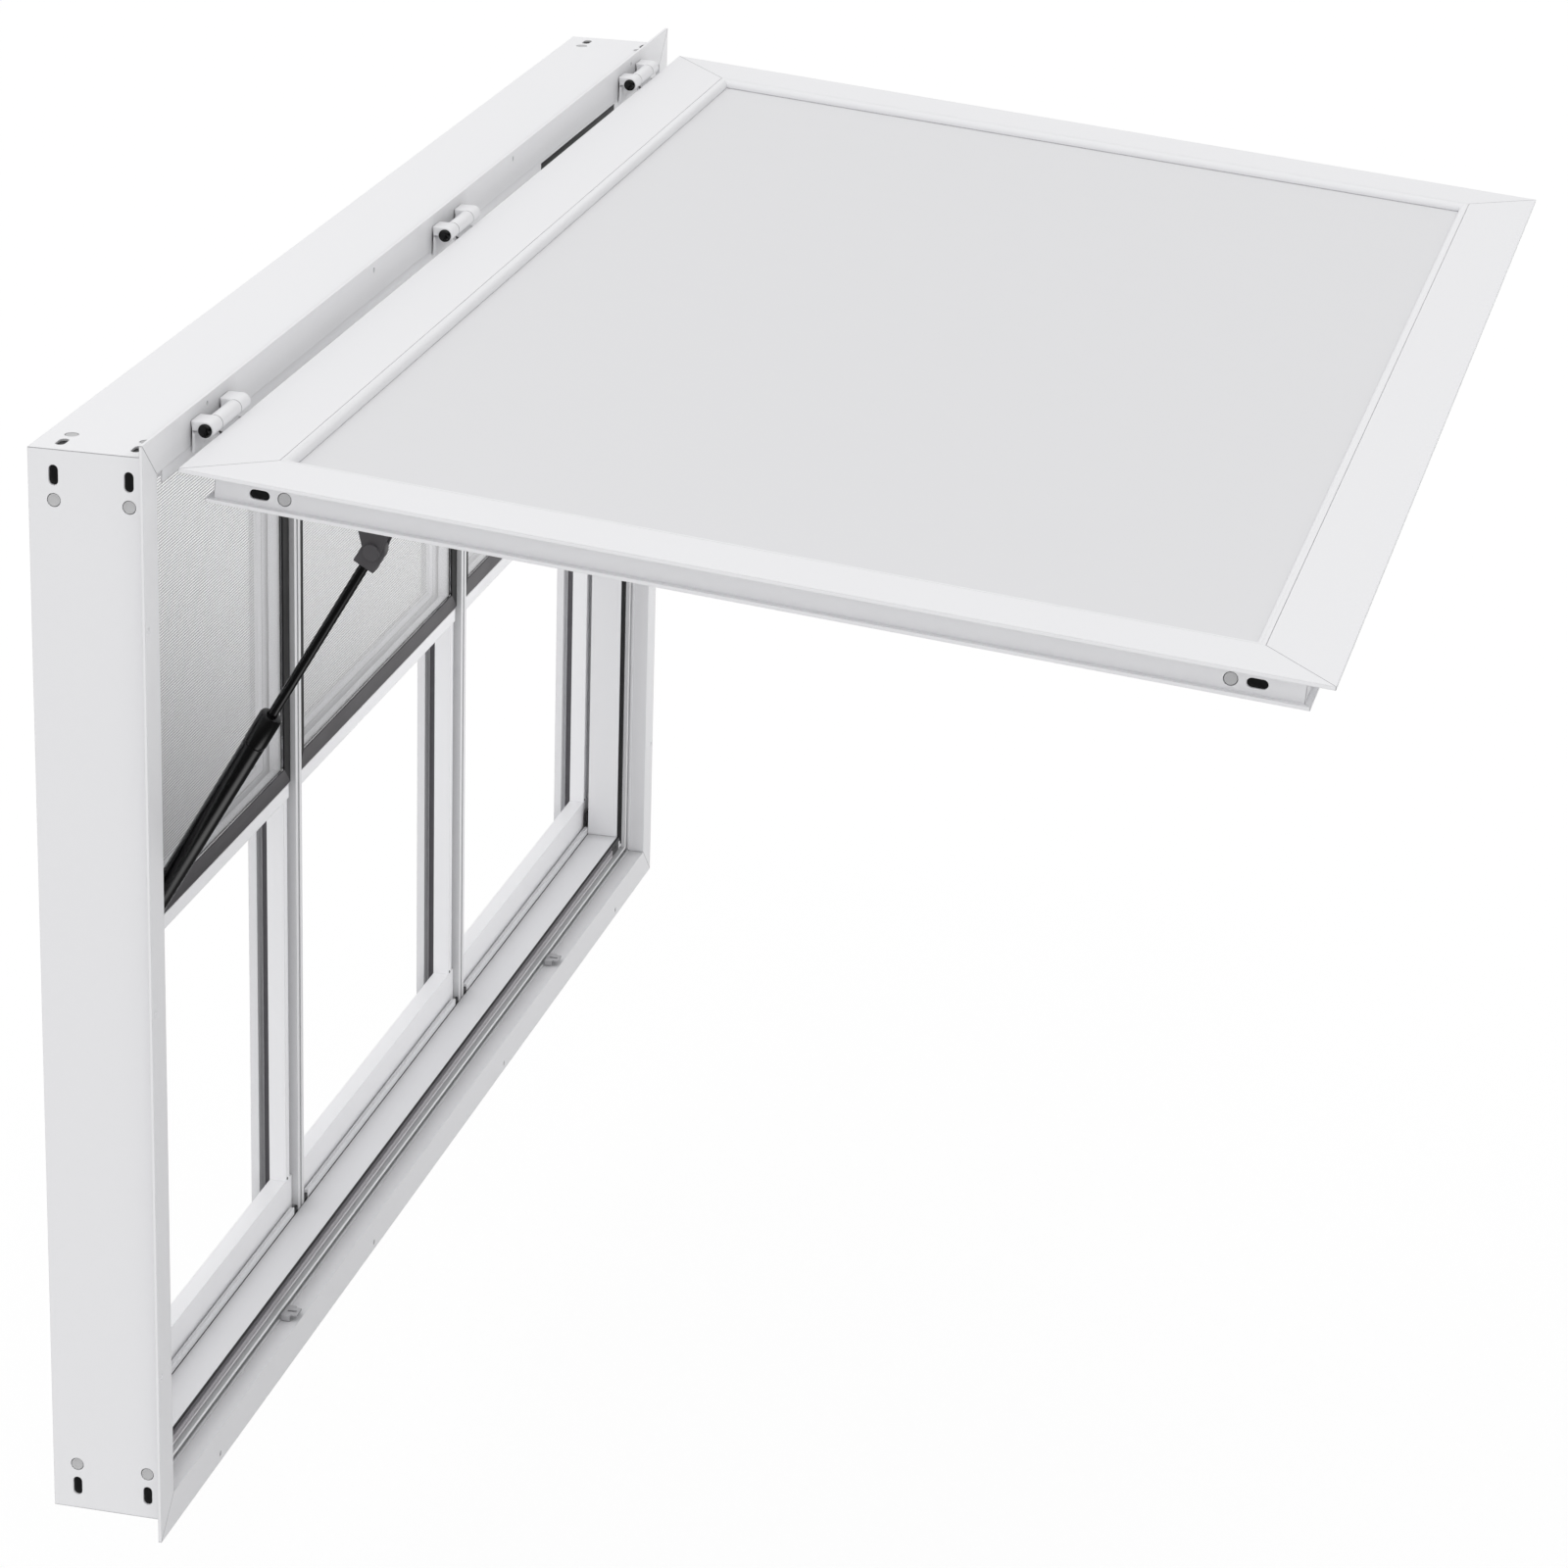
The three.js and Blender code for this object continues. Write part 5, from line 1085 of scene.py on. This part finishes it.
class SERVINGWINDOW_OT_stage(Operator):
    """Lays the floor, sets the even light, the soft boxes and the lamps, and places the camera"""

    bl_idname = "serving_window.stage"
    bl_label = "Stage"

    camera_place = (-4.0592, -1.24, 1.9816)
    camera_turn = (68.8537, -1.2455, -75.4339)
    camera_shift = (0.06875, 0.01875)
    sensor_width = 36
    seen_from, seen_to = 0.1, 200
    # Each soft box: the direction of its middle, its strength, and the cosines where it starts and is
    # full. The one below zero is a black flag that keeps light off the front.
    soft_boxes = (
        ((-0.3, -0.15, 0.94), 0.9, 0.45, 0.85),
        ((0.1, -0.99, -0.1), -0.65, 0.3, 0.8),
        ((0.3, 0.9, 0.32), 0.5, 0.5, 0.9),
        ((0.88, 0.25, 0.4), 0.55, 0.7, 0.95),
    )
    # How much of the even light and how many times the soft boxes glossy surfaces mirror.
    even_in_gloss, boxes_in_gloss = 0.3, 4
    sun_angle, sun_turn = 9, (38, 0, -70)
    fill_place, fill_size, fill_turn = (0.05, -0.55, 0.42), 0.5, (90, 0, -40)
    floor_reach = 60
    backdrop_share = 0.9
    # The floor as glossy surfaces see it: from and to along X in metres and the brightness there, and
    # the lit patch's middle, inner and outer radius and strength.
    floor_ramp = (0.4, 2.8, 0.1, 1.1)
    floor_patch = ((-1.1, -0.48), 0.1, 0.65, 2.2)

    def execute(self, context):
        stage = context.scene.serving_window_stage
        context.scene.view_settings.view_transform = "Standard"
        self.floor(stage)
        self.world(context.scene, stage)
        self.sun(stage)
        self.fill(stage)
        self.camera(context.scene, stage)
        return report_done(self, 1, "stage set")

    def placed(self, name, data, place=(0, 0, 0), turn=(0, 0, 0)):
        """Links an object for that data, with its turn in degrees."""
        made = bpy.data.objects.new(name, data)
        made.location, made.rotation_euler = place, [math.radians(a) for a in turn]
        bpy.context.scene.collection.objects.link(made)
        return made

    def floor(self, stage):
        """A flat pale sheet. Seen directly it is mostly its own white, so that it meets the backdrop
        without a line, and it keeps a trace of the shadow."""
        z, r = FRAME_Z[0] - stage.floor_drop, self.floor_reach
        mesh = bpy.data.meshes.new("floor")
        mesh.from_pydata([(-r, -r, z), (r, -r, z), (r, r, z), (-r, r, z)], [], [[0, 1, 2, 3]])
        floor = self.placed("floor", mesh)
        made = bpy.data.materials.new("pale_floor")
        tree = new_tree(made)
        white = (*stage.backdrop, 1)
        shade = add(tree, "ShaderNodeMix", {"Factor": seen_ray(tree)}, data_type="RGBA")
        for socket in shade.inputs:
            if socket.type == "RGBA":
                socket.default_value = white if socket.name == "B" else (*stage.floor, 1)
        tint = next(socket for socket in shade.outputs if socket.type == "RGBA")
        paint = add(tree, "ShaderNodeBsdfDiffuse", {"Color": tint})
        glow = add(tree, "ShaderNodeEmission", Color=white, Strength=1.0)
        seen = add(tree, "ShaderNodeMath", {0: seen_ray(tree)}, operation="MULTIPLY")
        seen.inputs[1].default_value = self.backdrop_share
        both = add(tree, "ShaderNodeMixShader", {0: seen.outputs[0], 1: paint.outputs[0], 2: glow.outputs[0]})
        mirrored = add(tree, "ShaderNodeEmission", {"Strength": self.floor_in_gloss(tree, z)}, Color=white)
        gloss = add(tree, "ShaderNodeLightPath").outputs["Is Glossy Ray"]
        all_rays = add(tree, "ShaderNodeMixShader", {0: gloss, 1: both.outputs[0], 2: mirrored.outputs[0]})
        add(tree, "ShaderNodeOutputMaterial", {"Surface": all_rays.outputs[0]})
        mesh.materials.append(made)

    def floor_in_gloss(self, tree, z):
        """How bright the floor is in glossy surfaces: dark to the left, rising towards the right, with
        one lit round patch whose brightness falls smoothly with the distance from its middle."""
        place = add(tree, "ShaderNodeTexCoord").outputs["Object"]
        across = add(tree, "ShaderNodeSeparateXYZ", {"Vector": place}).outputs["X"]
        middle, inner, outer, strength = self.floor_patch
        gap = add(tree, "ShaderNodeVectorMath", {0: place}, operation="DISTANCE")
        gap.inputs[1].default_value = (*middle, z)
        parts = {}
        for part, source, (start, end, first, last) in (
            (0, across, self.floor_ramp),
            (1, gap.outputs["Value"], (inner, outer, strength, 0)),
        ):
            ends = {"From_Min": start, "From_Max": end, "To_Min": first, "To_Max": last}
            step = add(
                tree, "ShaderNodeMapRange", {"Value": source}, interpolation_type="SMOOTHSTEP", **ends
            )
            parts[part] = step.outputs[0]
        return add(tree, "ShaderNodeMath", parts, operation="ADD").outputs[0]

    def world(self, scene, stage):
        """Even light plus soft boxes. With d the direction looked in and k a box's middle, a box adds
        its strength times a smooth step of d . k. Glossy surfaces mirror the boxes and little of the
        even light, as between black studio screens. Directly seen, the world is plain white."""
        scene.world = bpy.data.worlds.new("studio")
        tree = new_tree(scene.world)
        way = add(tree, "ShaderNodeTexCoord").outputs["Generated"]
        level = less_for_gloss(tree, stage.ambient, self.even_in_gloss)
        boxes = less_for_gloss(tree, stage.boxes, self.boxes_in_gloss)
        for middle, strength, start, full in self.soft_boxes:
            near = add(tree, "ShaderNodeVectorMath", {0: way}, operation="DOT_PRODUCT")
            near.inputs[1].default_value = middle
            ends = {"From_Min": start, "From_Max": full, "To_Max": strength}
            links = {"Value": near.outputs["Value"]}
            step = add(tree, "ShaderNodeMapRange", links, interpolation_type="SMOOTHSTEP", **ends)
            part = add(tree, "ShaderNodeMath", {0: step.outputs[0], 1: boxes}, operation="MULTIPLY")
            level = add(tree, "ShaderNodeMath", {0: level, 1: part.outputs[0]}, operation="ADD").outputs[0]
        lit = add(tree, "ShaderNodeMath", {0: level}, operation="MAXIMUM")
        lit.inputs[1].default_value = 0
        light = add(tree, "ShaderNodeBackground", {"Strength": lit.outputs[0]}, Color=(1, 1, 1, 1))
        white = add(tree, "ShaderNodeBackground", Color=(*stage.backdrop, 1), Strength=1.0)
        both = add(tree, "ShaderNodeMixShader", {0: seen_ray(tree), 1: light.outputs[0], 2: white.outputs[0]})
        add(tree, "ShaderNodeOutputWorld", {"Surface": both.outputs[0]})

    def sun(self, stage):
        """A wide soft sun for the sheen along rounded edges and tubes."""
        lamp = bpy.data.lights.new("soft_sun", "SUN")
        lamp.energy, lamp.angle = stage.sun, math.radians(self.sun_angle)
        self.placed("soft_sun", lamp, turn=self.sun_turn)

    def fill(self, stage):
        """A soft panel before the middle bay, under the hatch, that no ray sees directly."""
        lamp = bpy.data.lights.new("fill_panel", "AREA")
        lamp.energy, lamp.size = stage.fill, self.fill_size
        panel = self.placed("fill_panel", lamp, self.fill_place, self.fill_turn)
        panel.visible_camera = panel.visible_glossy = panel.visible_transmission = False

    def camera(self, scene, stage):
        data = bpy.data.cameras.new("camera")
        data.lens, data.sensor_width = stage.lens, self.sensor_width
        data.shift_x, data.shift_y = self.camera_shift
        data.clip_start, data.clip_end = self.seen_from, self.seen_to
        scene.camera = self.placed("camera", data, self.camera_place, self.camera_turn)


def less_for_gloss(tree, level, part):
    """A level of light that mirrored rays see multiplied by part."""
    gloss = add(tree, "ShaderNodeLightPath").outputs["Is Glossy Ray"]
    return add(tree, "ShaderNodeMapRange", {"Value": gloss}, To_Min=level, To_Max=level * part).outputs[0]


def seen_ray(tree):
    """1 for rays from the camera, straight or through glass, which should see the backdrop."""
    path = add(tree, "ShaderNodeLightPath")
    either = {0: path.outputs["Is Camera Ray"], 1: path.outputs["Is Transmission Ray"]}
    return add(tree, "ShaderNodeMath", either, operation="MAXIMUM").outputs[0]


# --- Sidebar and start ---

STEPS = (
    SERVINGWINDOW_OT_finishes,
    SERVINGWINDOW_OT_seals,
    SERVINGWINDOW_OT_hinges,
    SERVINGWINDOW_OT_struts,
    SERVINGWINDOW_OT_screens,
    SERVINGWINDOW_OT_brushes,
    SERVINGWINDOW_OT_plugs,
    SERVINGWINDOW_OT_pads,
    SERVINGWINDOW_OT_seams,
    SERVINGWINDOW_OT_screws,
    SERVINGWINDOW_OT_stage,
)


class SERVINGWINDOW_PT_sidebar(Panel):
    """Lists the sizes, the colours and the steps that build the window's looks"""

    bl_idname = "SERVINGWINDOW_PT_sidebar"
    bl_label = "Serving Window"
    bl_space_type = "VIEW_3D"
    bl_region_type = "UI"
    bl_category = "Serving Window"

    def draw(self, context):
        for group in (
            context.scene.serving_window_sizes,
            context.scene.serving_window_colours,
            context.scene.serving_window_stage,
        ):
            column = self.layout.column(align=True)
            for key in group.__annotations__:
                column.prop(group, key)
        for step in STEPS:
            self.layout.operator(step.bl_idname)


GROUPS = {
    "serving_window_sizes": ServingWindowSizes,
    "serving_window_colours": ServingWindowColours,
    "serving_window_stage": ServingWindowStage,
}
CLASSES = (*GROUPS.values(), *STEPS, SERVINGWINDOW_PT_sidebar)


def register():
    for cls in CLASSES:
        bpy.utils.register_class(cls)
    for key, cls in GROUPS.items():
        setattr(bpy.types.Scene, key, PointerProperty(type=cls))


def unregister():
    for key in GROUPS:
        delattr(bpy.types.Scene, key)
    for cls in reversed(CLASSES):
        bpy.utils.unregister_class(cls)


def main():
    register()
    for step in STEPS:
        family, name = step.bl_idname.split(".")
        getattr(getattr(bpy.ops, family), name)()


if __name__ == "__main__":
    main()
